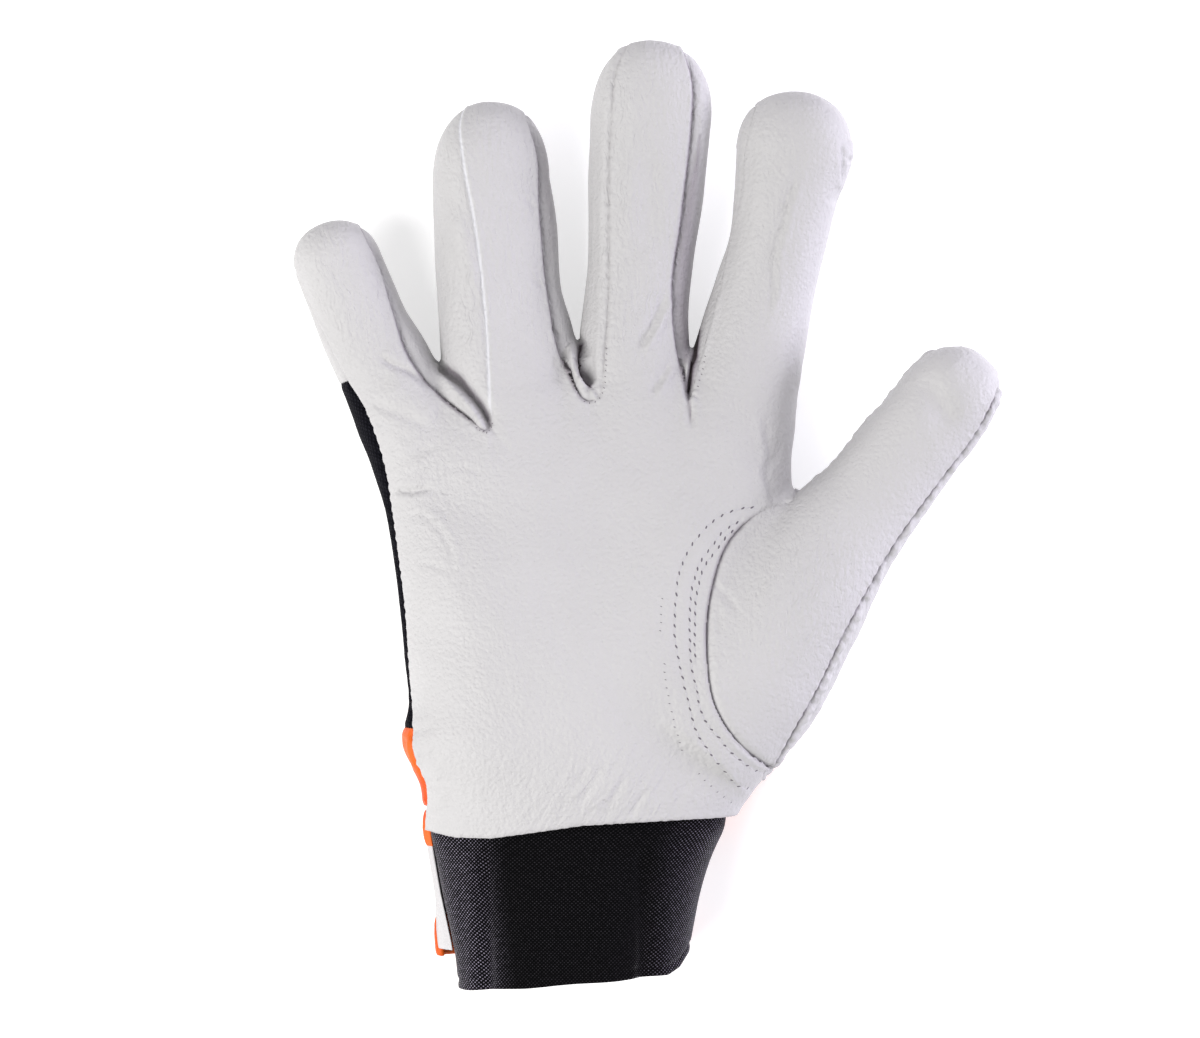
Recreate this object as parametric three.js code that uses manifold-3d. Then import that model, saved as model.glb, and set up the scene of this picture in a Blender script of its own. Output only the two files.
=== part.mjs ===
// A right-hand goatskin work glove, lying on its back with the palm up and the fingers a little curled.
// It is sewn from thin panels: one piece of leather for the palm and the finger fronts, a gusset strip between
// each two fingers, leather finger backs, a set-in thumb of two pieces, a stretch-fabric hand back, a wrist
// yoke, a knit cuff that goes up inside the leather hem, and a closing strap with two bound edges on the back
// of the wrist. Units are millimetres. +X is towards the thumb, +Y towards the fingertips, +Z up out of the
// palm. The origin is on the surface that the glove lies on, under the middle of its outline.
import * as THREE from "three";
import Module from "manifold-3d";
import { mergeVertices } from "three/addons/utils/BufferGeometryUtils.js";

const wasm = await Module();
wasm.setup();

// Driving dimensions
const LEATHER = 1.4; // wall of every sewn panel
const KNIT = 1.8; // wall of the doubled knit cuff
const GAP = 0.3; // open seam between neighbouring panels
const TALL = 120; // height of the cutting prisms, clear above the glove
const SIDES = { finger: 18, fingerInside: 10, web: 8, hand: 28, handInside: 20, cuff: 28, cuffInside: 20 };
const SQUARE_FINGER = 2.4; // superellipse exponent of a finger's section, 2 is an ellipse
const SQUARE_PALM = 2.7;
const CAP_STEPS = [0.4, 0.7, 0.89, 0.98]; // sections along a rounded fingertip, as shares of its length

// One row for each section of a finger, from inside the palm to the last full section before the tip:
// x, y, z its centre, half its half width, deep its half depth, roll its turn about the finger in degrees.
// The tip is rounded off over its own length, and leans from +Y towards +X by some degrees.
const COLUMNS = ["x", "y", "z", "half", "deep", "roll"];
const FINGERS = {
  pinky: {
    tip: 12.0,
    lean: -24,
    rows: [
      [-55.0, 6.0, 15.5, 10.0, 11.0, 0],
      [-62.2, 24.0, 15.0, 13.2, 13.2, 0],
      [-68.8, 39.0, 15.2, 12.9, 12.3, 0],
      [-74.2, 49.5, 16.8, 12.0, 11.4, 0],
      [-77.3, 58.0, 18.6, 11.6, 10.9, 0],
      [-80.4, 66.2, 20.6, 11.5, 10.4, 0],
    ],
  },
  ring: {
    tip: 20.6,
    lean: 2,
    rows: [
      [-33.4, 8.0, 14.6, 14.0, 12.4, 0],
      [-34.6, 28.0, 14.8, 17.5, 13.8, 6],
      [-36.2, 45.0, 15.2, 17.7, 12.8, 12],
      [-38.1, 58.0, 16.4, 16.4, 12.0, 14],
      [-39.2, 74.0, 18.8, 16.2, 11.6, 14],
      [-40.4, 88.6, 21.6, 15.2, 11.0, 12],
    ],
  },
  middle: {
    tip: 21.0,
    lean: 4,
    rows: [
      [-2.0, 8.0, 14.6, 13.5, 12.4, 0],
      [-2.2, 28.0, 14.8, 15.4, 13.8, 0],
      [-2.6, 45.0, 15.2, 14.6, 12.8, 0],
      [-2.0, 57.0, 16.4, 13.8, 12.0, 0],
      [-0.9, 70.0, 18.2, 13.9, 11.7, 0],
      [0.8, 87.0, 21.4, 15.2, 11.4, 0],
      [1.6, 104.0, 25.6, 15.9, 11.0, 0],
    ],
  },
  index: {
    tip: 16.2,
    lean: 3,
    rows: [
      [19.0, 4.0, 15.0, 12.0, 11.4, 0],
      [24.2, 28.0, 14.8, 15.0, 13.8, -3],
      [28.2, 45.0, 15.2, 14.2, 12.8, -6],
      [31.8, 59.0, 16.6, 13.2, 12.0, -8],
      [35.4, 73.5, 19.0, 12.7, 11.6, -8],
      [39.4, 95.0, 23.4, 15.2, 11.2, -8],
    ],
  },
  thumb: {
    tip: 17.4,
    lean: 40,
    rows: [
      [13.0, -58.0, 21.0, 19.0, 18.4, 0],
      [25.6, -44.0, 21.4, 20.8, 19.0, 0],
      [37.4, -25.0, 22.0, 19.8, 18.2, 0],
      [48.8, -8.6, 22.6, 16.8, 16.0, 0],
      [58.9, 3.2, 23.6, 14.2, 14.0, 0],
      [67.6, 15.2, 25.0, 13.3, 12.8, 0],
      [77.4, 28.2, 27.0, 13.0, 12.0, 0],
    ],
  },
};

// The webs of skin between the fingers, with the columns of a finger
const WEBS = {
  pinkyRing: {
    tip: 8.5,
    lean: -20,
    rows: [
      [-46.0, 16.0, 14.6, 5.5, 12.6, 0],
      [-51.4, 30.0, 14.8, 5.0, 10.8, 0],
    ],
  },
  ringMiddle: {
    tip: 8.5,
    lean: 0,
    rows: [
      [-17.2, 20.0, 14.6, 5.5, 12.6, 0],
      [-17.6, 38.0, 15.2, 4.6, 10.8, 0],
    ],
  },
  middleIndex: {
    tip: 8.5,
    lean: 0,
    rows: [
      [11.4, 20.0, 14.6, 5.5, 12.6, 0],
      [11.9, 36.0, 15.2, 4.6, 10.8, 0],
    ],
  },
};

// One row for each section of the hand, from the wrist to the knuckles: x its middle, y, half its half width,
// top the height of the palm, base the height of the back before it is pressed flat on the surface.
const HAND_COLUMNS = ["x", "y", "half", "top", "base"];
const HAND = [
  [-16.6, -91.0, 38.4, 36.0, -1.5],
  [-16.4, -80.0, 40.0, 38.0, -1.5],
  [-14.6, -70.0, 45.2, 40.0, -1.5],
  [-13.6, -60.0, 50.4, 41.4, -1.5],
  [-12.8, -50.0, 49.4, 41.6, -1.5],
  [-12.8, -36.0, 50.6, 41.0, -1.5],
  [-13.4, -18.0, 52.0, 38.8, -1.5],
  [-14.6, 0.0, 53.6, 35.8, -1.5],
  [-16.6, 15.0, 55.4, 32.8, -1.5],
  [-17.4, 26.0, 56.0, 30.2, -1.2],
  [-17.2, 33.5, 52.6, 26.6, 0.6],
  [-17.0, 38.0, 45.0, 20.6, 5.0],
];

// Broad dents and swellings of the palm: x, y the middle, long and wide how far it reaches along and across its
// heading (degrees from +X), sink how deep it goes, below 0 where it swells.
const DENT_COLUMNS = ["x", "y", "long", "wide", "heading", "sink"];
const DENTS = [
  [-16, -8, 34, 22, 80, 2.6],
  [-44, -44, 26, 14, 100, -1.2],
  [-52, 6, 16, 8, 150, 1.6],
  [22, 18, 20, 8, 120, -1.4],
  [8, -62, 22, 9, 130, 1.4],
  [-58, -30, 14, 7, 160, 1.2],
];

// The knit cuff: x its middle, y, half its half width, deep its half depth, base its height over the surface.
const CUFF_COLUMNS = ["x", "y", "half", "deep", "base"];
const CUFF = [
  [-15.6, -68.0, 38.6, 16.2, 2.0],
  [-16.2, -74.5, 38.2, 16.2, 2.1],
  [-16.4, -77.2, 38.0, 16.3, 3.4],
  [-16.6, -86.0, 36.9, 16.6, 3.4],
  [-18.4, -96.0, 34.2, 17.0, 3.5],
  [-19.3, -111.0, 31.6, 17.6, 3.6],
  [-19.6, -125.4, 29.5, 18.0, 3.6],
];
const SQUARE_CUFF = 2.2;

// The closing strap lies round the back of the cuff and stands off it on the little-finger side:
// y, and left the x that it reaches on that side.
const STRAP_COLUMNS = ["y", "left"];
const STRAP = [
  [-77.6, -59.0],
  [-87.0, -57.2],
  [-96.0, -56.0],
  [-105.4, -55.6],
  [-111.0, -57.2],
  [-116.6, -57.0],
];
const STRAP_THICK = 1.6;
const BINDING_THICK = 2.3; // the bound edges are folded round the strap's edge, so they are thicker
const UPPER_BINDING = [-77.6, -86.8]; // the stretch of Y that each band covers
const STRAP_FACE = [-87.1, -105.2];
const LOWER_BINDING = [-105.5, -116.6];
const STRAP_CLEAR = 0.5; // between the cuff and the inner faces of the bindings
const STRAP_ENDS = [169, 322]; // degrees round the wrist from the thumb side, over the back at 270
const STRAP_STEPS = 16;

// Seams, as seen from above the palm: points x, y that a smooth curve goes through
const SEAMS = {
  pinkyOuter: [[-96, 75], [-92.4, 66.3], [-86.5, 52.3], [-78.6, 35.7]],
  palmOuter: [
    [-73.1, 28.3], [-68.9, 18.6], [-66.6, 3], [-62.8, -26.7],
    [-61, -54.4], [-59, -68], [-54.8, -79], [-54, -94],
  ],
  pinkyInner: [[-74.6, 76.6], [-69.7, 66.5], [-66.3, 55], [-61.8, 41.5], [-54.4, 32.2], [-45.7, 25.2]],
  ringLeft: [[-40.7, 30], [-41.6, 50], [-44.5, 76.5], [-47.5, 94], [-48.2, 104], [-46.6, 109]],
  ringRight: [[-32.2, 108.6], [-28.2, 96.3], [-27.4, 80], [-25.3, 59], [-22, 42], [-18.1, 33.4]],
  middleLeft: [[-11, 35.4], [-9.7, 50], [-9.2, 81], [-8.7, 104], [-7.1, 117.4], [-4.4, 123.4]],
  middleRight: [[10, 123], [12.4, 114], [12.2, 101.3], [9.9, 80], [7.3, 60], [8.6, 44], [10.2, 36]],
  indexLeft: [[13, 35], [17.8, 51.2], [22.4, 71.5], [25.6, 86], [26.6, 98], [29.4, 107.6]],
  thumbBase: [
    [38.9, 4.4], [29.1, 0.4], [22.2, -6.1], [17.6, -18],
    [15.9, -34], [18.3, -50], [25, -60], [33.4, -66.8],
  ],
  thumbOuter: [
    [33.4, -66.8], [39.2, -55.6], [45.6, -44.4], [53.2, -28],
    [64.4, -9.4], [77.8, 10], [87.6, 23.5], [93.6, 37],
  ],
};
const CROTCHES = { pinkyRing: [-41.9, 22.2], ringMiddle: [-14.9, 30.2], middleIndex: [11.6, 30.2] };
const SEAM_STEPS = 8; // straight stretches in a seam's curve

// The side seam between the front and back panels, seen from the side: y, and its height
const SIDE_SEAM = [[-140, 19], [-84, 19], [-62, 11.5], [0, 11], [45, 14], [75, 18.6], [100, 23.6], [140, 33]];
// The same for the thumb, by the distance along its heading, in degrees from +Y towards +X
const THUMB_HEADING = 36;
const THUMB_SEAM = [
  [-120, 19], [-40, 19], [2, 21], [37, 22.8],
  [52, 24.2], [68, 26.4], [86, 29.6], [120, 36],
];

// Edges across the glove, from the little-finger side to the thumb side
const HEM = [[-62, -81.6], [-50, -83.9], [-40, -84], [-16, -80.5], [11, -79.1], [34, -78.6]];
const CUFF_EDGE = [[-56, -124.8], [-20, -122], [5.6, -119.9], [9, -118], [11.4, -114.4], [13.6, -106]];
const KNUCKLE_LINE = [[-100, 29], [-78.6, 35.5], [-60, 38], [-30, 40.5], [0, 41.5], [30, 40], [60, 36]];
const YOKE_LINE = [[-90, -55.5], [60, -55.5]];
const YOKE_HEM = [[-90, -76], [14, -76], [18.5, -81.5], [60, -80]];

const COLOURS = {
  leather: 0xdcdade,
  fabric: 0x1d1d24,
  knit: 0x16161a,
  orange: 0xf2541b,
  strap: 0xe8e6e8,
};

const row = (columns) => (values) => Object.fromEntries(columns.map((name, i) => [name, values[i] ?? 0]));
const vec = ([x, y]) => new THREE.Vector2(x, y);

// A closed geometry as a manifold-3d solid
function solid(geometry) {
  const bare = geometry.clone();
  bare.deleteAttribute("normal");
  bare.deleteAttribute("uv");
  const merged = mergeVertices(bare, 1e-4);
  return new wasm.Manifold(
    new wasm.Mesh({
      numProp: 3,
      vertProperties: merged.attributes.position.array,
      triVerts: new Uint32Array(merged.index.array),
    }),
  );
}

// A superellipse point at an angle, as shares of the half width and half depth
function superellipse(angle, power) {
  const bend = (value) => Math.sign(value) * Math.abs(value) ** (2 / power);
  return [bend(Math.cos(angle)), bend(Math.sin(angle))];
}
const around = (sides, power, place) =>
  Array.from({ length: sides }, (_, i) => place(superellipse((2 * Math.PI * (i + 0.5)) / sides, power)));

// A solid through rings of points, closed by a flat end at both sides
function loft(rings) {
  const sides = rings[0].length;
  const middle = (ring) => ring.reduce((sum, p) => sum.add(p), new THREE.Vector3()).divideScalar(sides);
  const points = [...rings.flat(), middle(rings[0]), middle(rings.at(-1))];
  const index = [];
  for (let k = 0; k < rings.length - 1; k++)
    for (let i = 0; i < sides; i++) {
      const [a, b] = [k * sides + i, k * sides + ((i + 1) % sides)];
      index.push(a, b + sides, b, a, a + sides, b + sides);
    }
  const [first, last] = [rings.length * sides, rings.length * sides + 1];
  const end = (rings.length - 1) * sides;
  for (let i = 0; i < sides; i++) {
    const j = (i + 1) % sides;
    index.push(first, i, j, last, end + j, end + i);
  }
  const geometry = new THREE.BufferGeometry().setFromPoints(points);
  geometry.setIndex(index);
  const made = solid(geometry);
  if (made.volume() > 0) return made;
  for (let i = 0; i < index.length; i += 3) [index[i + 1], index[i + 2]] = [index[i + 2], index[i + 1]];
  geometry.setIndex(index);
  return solid(geometry);
}

// The ring of points of one finger section, square to the finger as seen from above
function fingerRing({ x, y, z, half, deep, roll }, heading, sides, inset, scale = 1) {
  const turn = THREE.MathUtils.degToRad(roll);
  return around(sides, SQUARE_FINGER, ([cu, cw]) => {
    const [u, w] = [cu * (half - inset) * scale, cw * (deep - inset) * scale];
    const across = u * Math.cos(turn) + w * Math.sin(turn);
    const up = w * Math.cos(turn) - u * Math.sin(turn);
    return new THREE.Vector3(x + across * Math.cos(heading), y - across * Math.sin(heading), z + up);
  });
}

// A finger with a rounded tip; inset moves its whole surface inwards, for the hollow
function finger({ rows, tip, lean }, sides, inset = 0) {
  const stations = rows.map(row(COLUMNS));
  const last = stations.length - 1;
  const rings = stations.map((station, i) => {
    const [a, b] = [stations[Math.max(0, i - 1)], stations[Math.min(last, i + 1)]];
    return fingerRing(station, Math.atan2(b.x - a.x, b.y - a.y), sides, inset);
  });
  const [before, end] = stations.slice(-2);
  const heading = THREE.MathUtils.degToRad(lean);
  const climb = (end.z - before.z) / Math.hypot(end.x - before.x, end.y - before.y);
  for (const share of CAP_STEPS) {
    const reach = (tip - inset) * share;
    const centre = {
      ...end,
      x: end.x + reach * Math.sin(heading),
      y: end.y + reach * Math.cos(heading),
      z: end.z + reach * climb,
    };
    rings.push(fingerRing(centre, heading, sides, inset, (1 - share ** 2.2) ** (1 / 2.2)));
  }
  return loft(rings);
}

// The hand's body; its rounded back dips under the surface, where it is then cut level
function hand(inset = 0) {
  const stations = HAND.map(row(HAND_COLUMNS));
  stations.at(-1).y -= inset;
  return loft(
    stations.map(({ x, y, half, top, base }) => {
      const [middle, deep] = [(top + base) / 2, (top - base) / 2];
      return around(inset ? SIDES.handInside : SIDES.hand, SQUARE_PALM, ([cu, cw]) => {
        const across = x + cu * (half - inset);
        const sunk = Math.max(0, cw) * dent(across, y);
        return new THREE.Vector3(across, y, middle + cw * (deep - inset) - sunk);
      });
    }),
  );
}

// How far the palm is sunk at a point
function dent(x, y) {
  return DENTS.map(row(DENT_COLUMNS)).reduce((sum, d) => {
    const turn = THREE.MathUtils.degToRad(d.heading);
    const along = (x - d.x) * Math.cos(turn) + (y - d.y) * Math.sin(turn);
    const beside = (y - d.y) * Math.cos(turn) - (x - d.x) * Math.sin(turn);
    return sum + d.sink * Math.exp(-((along / d.long) ** 2) - (beside / d.wide) ** 2);
  }, 0);
}

// A prism over an outline seen from above
function prism(points, low = -TALL, high = TALL) {
  const geometry = new THREE.ExtrudeGeometry(new THREE.Shape(points), {
    depth: high - low,
    bevelEnabled: false,
  });
  return solid(geometry.translate(0, 0, low));
}

// The outline moved outwards by a distance, square to its edges
function grown(points, distance) {
  const outline = THREE.ShapeUtils.isClockWise(points) ? [...points].reverse() : points;
  return outline.map((point, i) => {
    const before = point.clone().sub(outline.at(i - 1)).normalize();
    const after = outline[(i + 1) % outline.length].clone().sub(point).normalize();
    const normal = new THREE.Vector2(before.y + after.y, -before.x - after.x).normalize();
    const cosine = Math.max(0.35, normal.x * after.y - normal.y * after.x);
    return point.clone().addScaledVector(normal, distance / cosine);
  });
}

const curve = (points, steps = SEAM_STEPS) => new THREE.SplineCurve(points.map(vec)).getPoints(steps);

// Everything over a height profile: the profile runs along a heading and is as wide as the glove
function above(profile, headingDegrees, lift) {
  const [near, far] = [profile[0][0], profile.at(-1)[0]];
  const outline = [...profile.map(([along, z]) => [along, z + lift]), [far, TALL], [near, TALL]].map(vec);
  const geometry = new THREE.ExtrudeGeometry(new THREE.Shape(outline), { depth: 4 * TALL, bevelEnabled: false });
  // the extrusion's x, y, z become the heading, up, and square to the heading
  geometry.translate(0, 0, -2 * TALL);
  geometry.rotateX(Math.PI / 2);
  geometry.rotateZ(Math.PI / 2 - THREE.MathUtils.degToRad(headingDegrees));
  return solid(geometry);
}

// Outlines of the panels' regions, seen from above
const gusset = (inner, crotch, outer, beyond) => [
  ...curve(inner),
  vec(crotch),
  ...curve(outer),
  ...beyond.map(vec),
];
const THUMB_BACK = [
  [40.6, 7], [60, 60], [110, 60], [110, -20], [60, -70],
  [31, -71], [35, -50], [36.6, -25], [38.6, -5],
];
const REGIONS = {
  pinkyRing: gusset(SEAMS.pinkyInner, CROTCHES.pinkyRing, SEAMS.ringLeft, [[-50, 114], [-68, 112]]),
  ringMiddle: gusset(SEAMS.ringRight, CROTCHES.ringMiddle, SEAMS.middleLeft, [[-8, 130], [-26, 124]]),
  middleIndex: gusset(SEAMS.middleRight, CROTCHES.middleIndex, SEAMS.indexLeft, [[27, 114], [16, 128]]),
  outerSide: [
    ...curve([...SEAMS.pinkyOuter, ...SEAMS.palmOuter], 2 * SEAM_STEPS),
    ...[[-110, -94], [-110, 75]].map(vec),
  ],
  thumbFront: [
    ...curve(SEAMS.thumbBase).slice(0, -1),
    ...curve(SEAMS.thumbOuter),
    ...[[94, 60], [60, 60]].map(vec),
  ],
  leftOfThumbSeam: [...curve(SEAMS.thumbOuter), ...[[94, 60], [0, 60], [0, -66.8]].map(vec)],
  thumbBack: THUMB_BACK.map(vec),
};
const upward = (line) => [
  vec([-TALL, line[0][1]]),
  ...line.map(vec),
  ...[[TALL, line.at(-1)[1]], [TALL, 2 * TALL], [-TALL, 2 * TALL]].map(vec),
];
// Which stretch of X each finger back lies in
const FINGER_SPANS = { pinky: [-110, -56], ring: [-56, -18], middle: [-18, 13], index: [13, 70] };

const room = (name, growth) => prism(grown(REGIONS[name], growth));
const half = GAP / 2;

// The whole sewn shell: the hand, fingers and thumb as one hollow skin, level where it rests, open at the wrist
const floorCut = (height) => prism([[-200, -200], [200, -200], [200, 200], [-200, 200]].map(vec), height, TALL);
const skin = (inset) =>
  [
    hand(inset),
    ...Object.values(FINGERS).map((shape) => finger(shape, inset ? SIDES.fingerInside : SIDES.finger, inset)),
    ...Object.values(WEBS).map((shape) => finger(shape, SIDES.web, inset)),
  ]
    .reduce((whole, piece) => whole.add(piece))
    .intersect(floorCut(inset));
const shell = skin(0)
  .subtract(skin(LEATHER))
  .intersect(prism(upward(HEM)));

const frontSide = above(SIDE_SEAM, 0, half);
const thumbFrontSide = above(THUMB_SEAM, THUMB_HEADING, half);
const thumbTop = above(THUMB_SEAM, THUMB_HEADING, -half).intersect(room("leftOfThumbSeam", half));
const gussets = ["pinkyRing", "ringMiddle", "middleIndex"];
const withoutGussets = gussets.reduce((left, name) => left.subtract(room(name, half)), shell);

const palm = withoutGussets
  .intersect(frontSide)
  .subtract(room("outerSide", half))
  .subtract(room("thumbFront", half))
  .subtract(room("thumbBack", half).subtract(room("leftOfThumbSeam", -half)))
  .subtract(room("thumbBack", half).subtract(above(THUMB_SEAM, THUMB_HEADING, half)));
const thumbFront = shell.intersect(room("thumbFront", -half)).intersect(thumbFrontSide);
const thumbBack = shell
  .intersect(room("thumbBack", -half).add(room("thumbFront", -half).intersect(above(SIDE_SEAM, 0, half))))
  .subtract(thumbTop);

const backs = withoutGussets
  .subtract(above(SIDE_SEAM, 0, -half).subtract(room("outerSide", -half)))
  .subtract(room("thumbBack", half));
const knuckles = prism(grown(upward(KNUCKLE_LINE), half));
const handBack = backs.subtract(knuckles).intersect(prism(grown(upward(YOKE_LINE), -half)));
const yoke = backs.subtract(prism(grown(upward(YOKE_LINE), half))).intersect(prism(upward(YOKE_HEM)));
const fingerBacks = backs.intersect(prism(grown(upward(KNUCKLE_LINE), -half)));

// The knit cuff: a tapered tube whose top goes up inside the leather hem
function cuffTube(inset, overrun) {
  const stations = CUFF.map(row(CUFF_COLUMNS));
  stations[0].y += overrun;
  stations.at(-1).y -= overrun;
  return loft(
    stations.map(({ x, y, half: wide, deep, base }) =>
      around(inset ? SIDES.cuffInside : SIDES.cuff, SQUARE_CUFF, ([cu, cw]) => {
        return new THREE.Vector3(x + cu * (wide - inset), y, base + deep + cw * (deep - inset));
      }),
    ),
  );
}
const cuff = cuffTube(0, 0)
  .subtract(cuffTube(KNIT, 1))
  .intersect(prism(upward(CUFF_EDGE)));

// The values of a table at a distance along the glove, between its rows
function at(rows, columns, y) {
  const stations = rows.map(row(columns));
  const i = Math.max(1, stations.findIndex((s) => s.y <= y));
  const [a, b] = [stations[i - 1], stations[i]];
  const between = (key) => THREE.MathUtils.mapLinear(y, a.y, b.y, a[key], b[key]);
  return Object.fromEntries(columns.map((key) => [key, between(key)]));
}

// A band of the strap between two distances along the wrist, swept round the back of the cuff
function strapBand(from, to, thick) {
  const stops = [from, ...STRAP.map(([y]) => y).filter((y) => y < from - 1 && y > to + 1), to];
  const inner = STRAP_CLEAR + (BINDING_THICK - thick) / 2;
  const line = (angle, out) =>
    stops.map((y) => {
      const { x, half: wide, deep, base } = at(CUFF, CUFF_COLUMNS, y);
      const cuffSide = x - wide - STRAP_CLEAR - BINDING_THICK;
      const offCuff = Math.max(0, cuffSide - at(STRAP, STRAP_COLUMNS, y).left);
      const [cu, cw] = superellipse(angle, SQUARE_CUFF);
      const aside = offCuff * THREE.MathUtils.smoothstep(-cu, 0.2, 1);
      return new THREE.Vector3(x + cu * (wide + out) - aside, y, base + deep + cw * (deep + out));
    });
  return loft(
    Array.from({ length: STRAP_STEPS + 1 }, (_, i) => {
      const angle = THREE.MathUtils.degToRad(THREE.MathUtils.lerp(...STRAP_ENDS, i / STRAP_STEPS));
      return [...line(angle, inner), ...line(angle, inner + thick).reverse()];
    }),
  );
}
const upperBinding = strapBand(...UPPER_BINDING, BINDING_THICK);
const strap = strapBand(...STRAP_FACE, STRAP_THICK);
const lowerBinding = strapBand(...LOWER_BINDING, BINDING_THICK);

// The largest body of a cut, leaving crumbs out
const largest = (cut) => cut.decompose().sort((a, b) => b.volume() - a.volume())[0];

function piece(name, made, colour, roughness) {
  const { vertProperties, triVerts } = largest(made).getMesh();
  const geometry = new THREE.BufferGeometry()
    .setAttribute("position", new THREE.BufferAttribute(vertProperties, 3))
    .setIndex(new THREE.BufferAttribute(triVerts, 1));
  const material = new THREE.MeshStandardMaterial({ color: colour, roughness, metalness: 0 });
  const mesh = new THREE.Mesh(geometry, material);
  mesh.name = name;
  return mesh;
}

const glove = new THREE.Group();
glove.add(
  piece("palm_leather", palm, COLOURS.leather, 0.6),
  piece("thumb_front", thumbFront, COLOURS.leather, 0.6),
  piece("thumb_back", thumbBack, COLOURS.leather, 0.6),
  piece("gusset_pinky_ring", shell.intersect(room("pinkyRing", -half)), COLOURS.leather, 0.65),
  piece("gusset_ring_middle", shell.intersect(room("ringMiddle", -half)), COLOURS.leather, 0.65),
  piece("gusset_middle_index", shell.intersect(room("middleIndex", -half)), COLOURS.leather, 0.65),
  piece("hand_back", handBack, COLOURS.fabric, 0.85),
  piece("wrist_yoke", yoke, COLOURS.orange, 0.6),
  piece("knit_cuff", cuff, COLOURS.knit, 0.9),
  piece("wrist_strap", strap, COLOURS.strap, 0.5),
  piece("strap_binding_upper", upperBinding, COLOURS.orange, 0.6),
  piece("strap_binding_lower", lowerBinding, COLOURS.orange, 0.6),
);
for (const [name, [from, to]] of Object.entries(FINGER_SPANS)) {
  const span = prism([[from, 0], [to, 0], [to, 160], [from, 160]].map(vec));
  glove.add(piece(`finger_back_${name}`, fingerBacks.intersect(span), COLOURS.leather, 0.6));
}

export default glove;
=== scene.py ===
"""A goatskin work glove for the right hand, lying on its back with the palm up.

The leather, the stretch-fabric back and the wrist panel are one sewn skin. It is worked out as a smooth
surface round the hand, the fingers and the thumb, then dented and folded, and cut along its seams into
panels with a real wall. The knit cuff, the closing strap and the stitches are made beside it. Tables and
sizes of the skin are in millimetres, in the CAD frame: +X to the thumb, +Y to the fingertips, +Z up out of
the palm. Every mesh is in metres.
"""

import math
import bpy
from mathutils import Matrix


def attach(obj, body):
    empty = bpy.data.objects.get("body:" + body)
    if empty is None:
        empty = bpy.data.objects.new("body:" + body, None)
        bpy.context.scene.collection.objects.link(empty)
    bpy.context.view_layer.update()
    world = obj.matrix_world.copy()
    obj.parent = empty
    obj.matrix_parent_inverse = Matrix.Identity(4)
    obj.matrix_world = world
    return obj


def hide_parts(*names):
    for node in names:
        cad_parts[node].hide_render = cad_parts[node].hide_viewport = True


bl_info = {
    "name": "Goatskin work glove",
    "version": (1, 0, 0),
    "blender": (4, 5, 0),
    "location": "3D View > Sidebar > Glove",
    "description": "A leather work glove with a knit cuff, made of separate sewn panels",
    "category": "Add Mesh",
}

from itertools import product

import bmesh
import bpy
import numpy as np
from mathutils import Vector
from mathutils.bvhtree import BVHTree
from mathutils.kdtree import KDTree

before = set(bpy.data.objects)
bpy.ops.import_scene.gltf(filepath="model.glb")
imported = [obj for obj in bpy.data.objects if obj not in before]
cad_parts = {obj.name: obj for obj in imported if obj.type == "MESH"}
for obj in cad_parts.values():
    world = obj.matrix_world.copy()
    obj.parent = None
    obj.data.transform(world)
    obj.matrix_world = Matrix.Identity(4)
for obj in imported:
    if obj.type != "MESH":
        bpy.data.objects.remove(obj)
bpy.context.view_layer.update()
MM = 0.001

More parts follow.
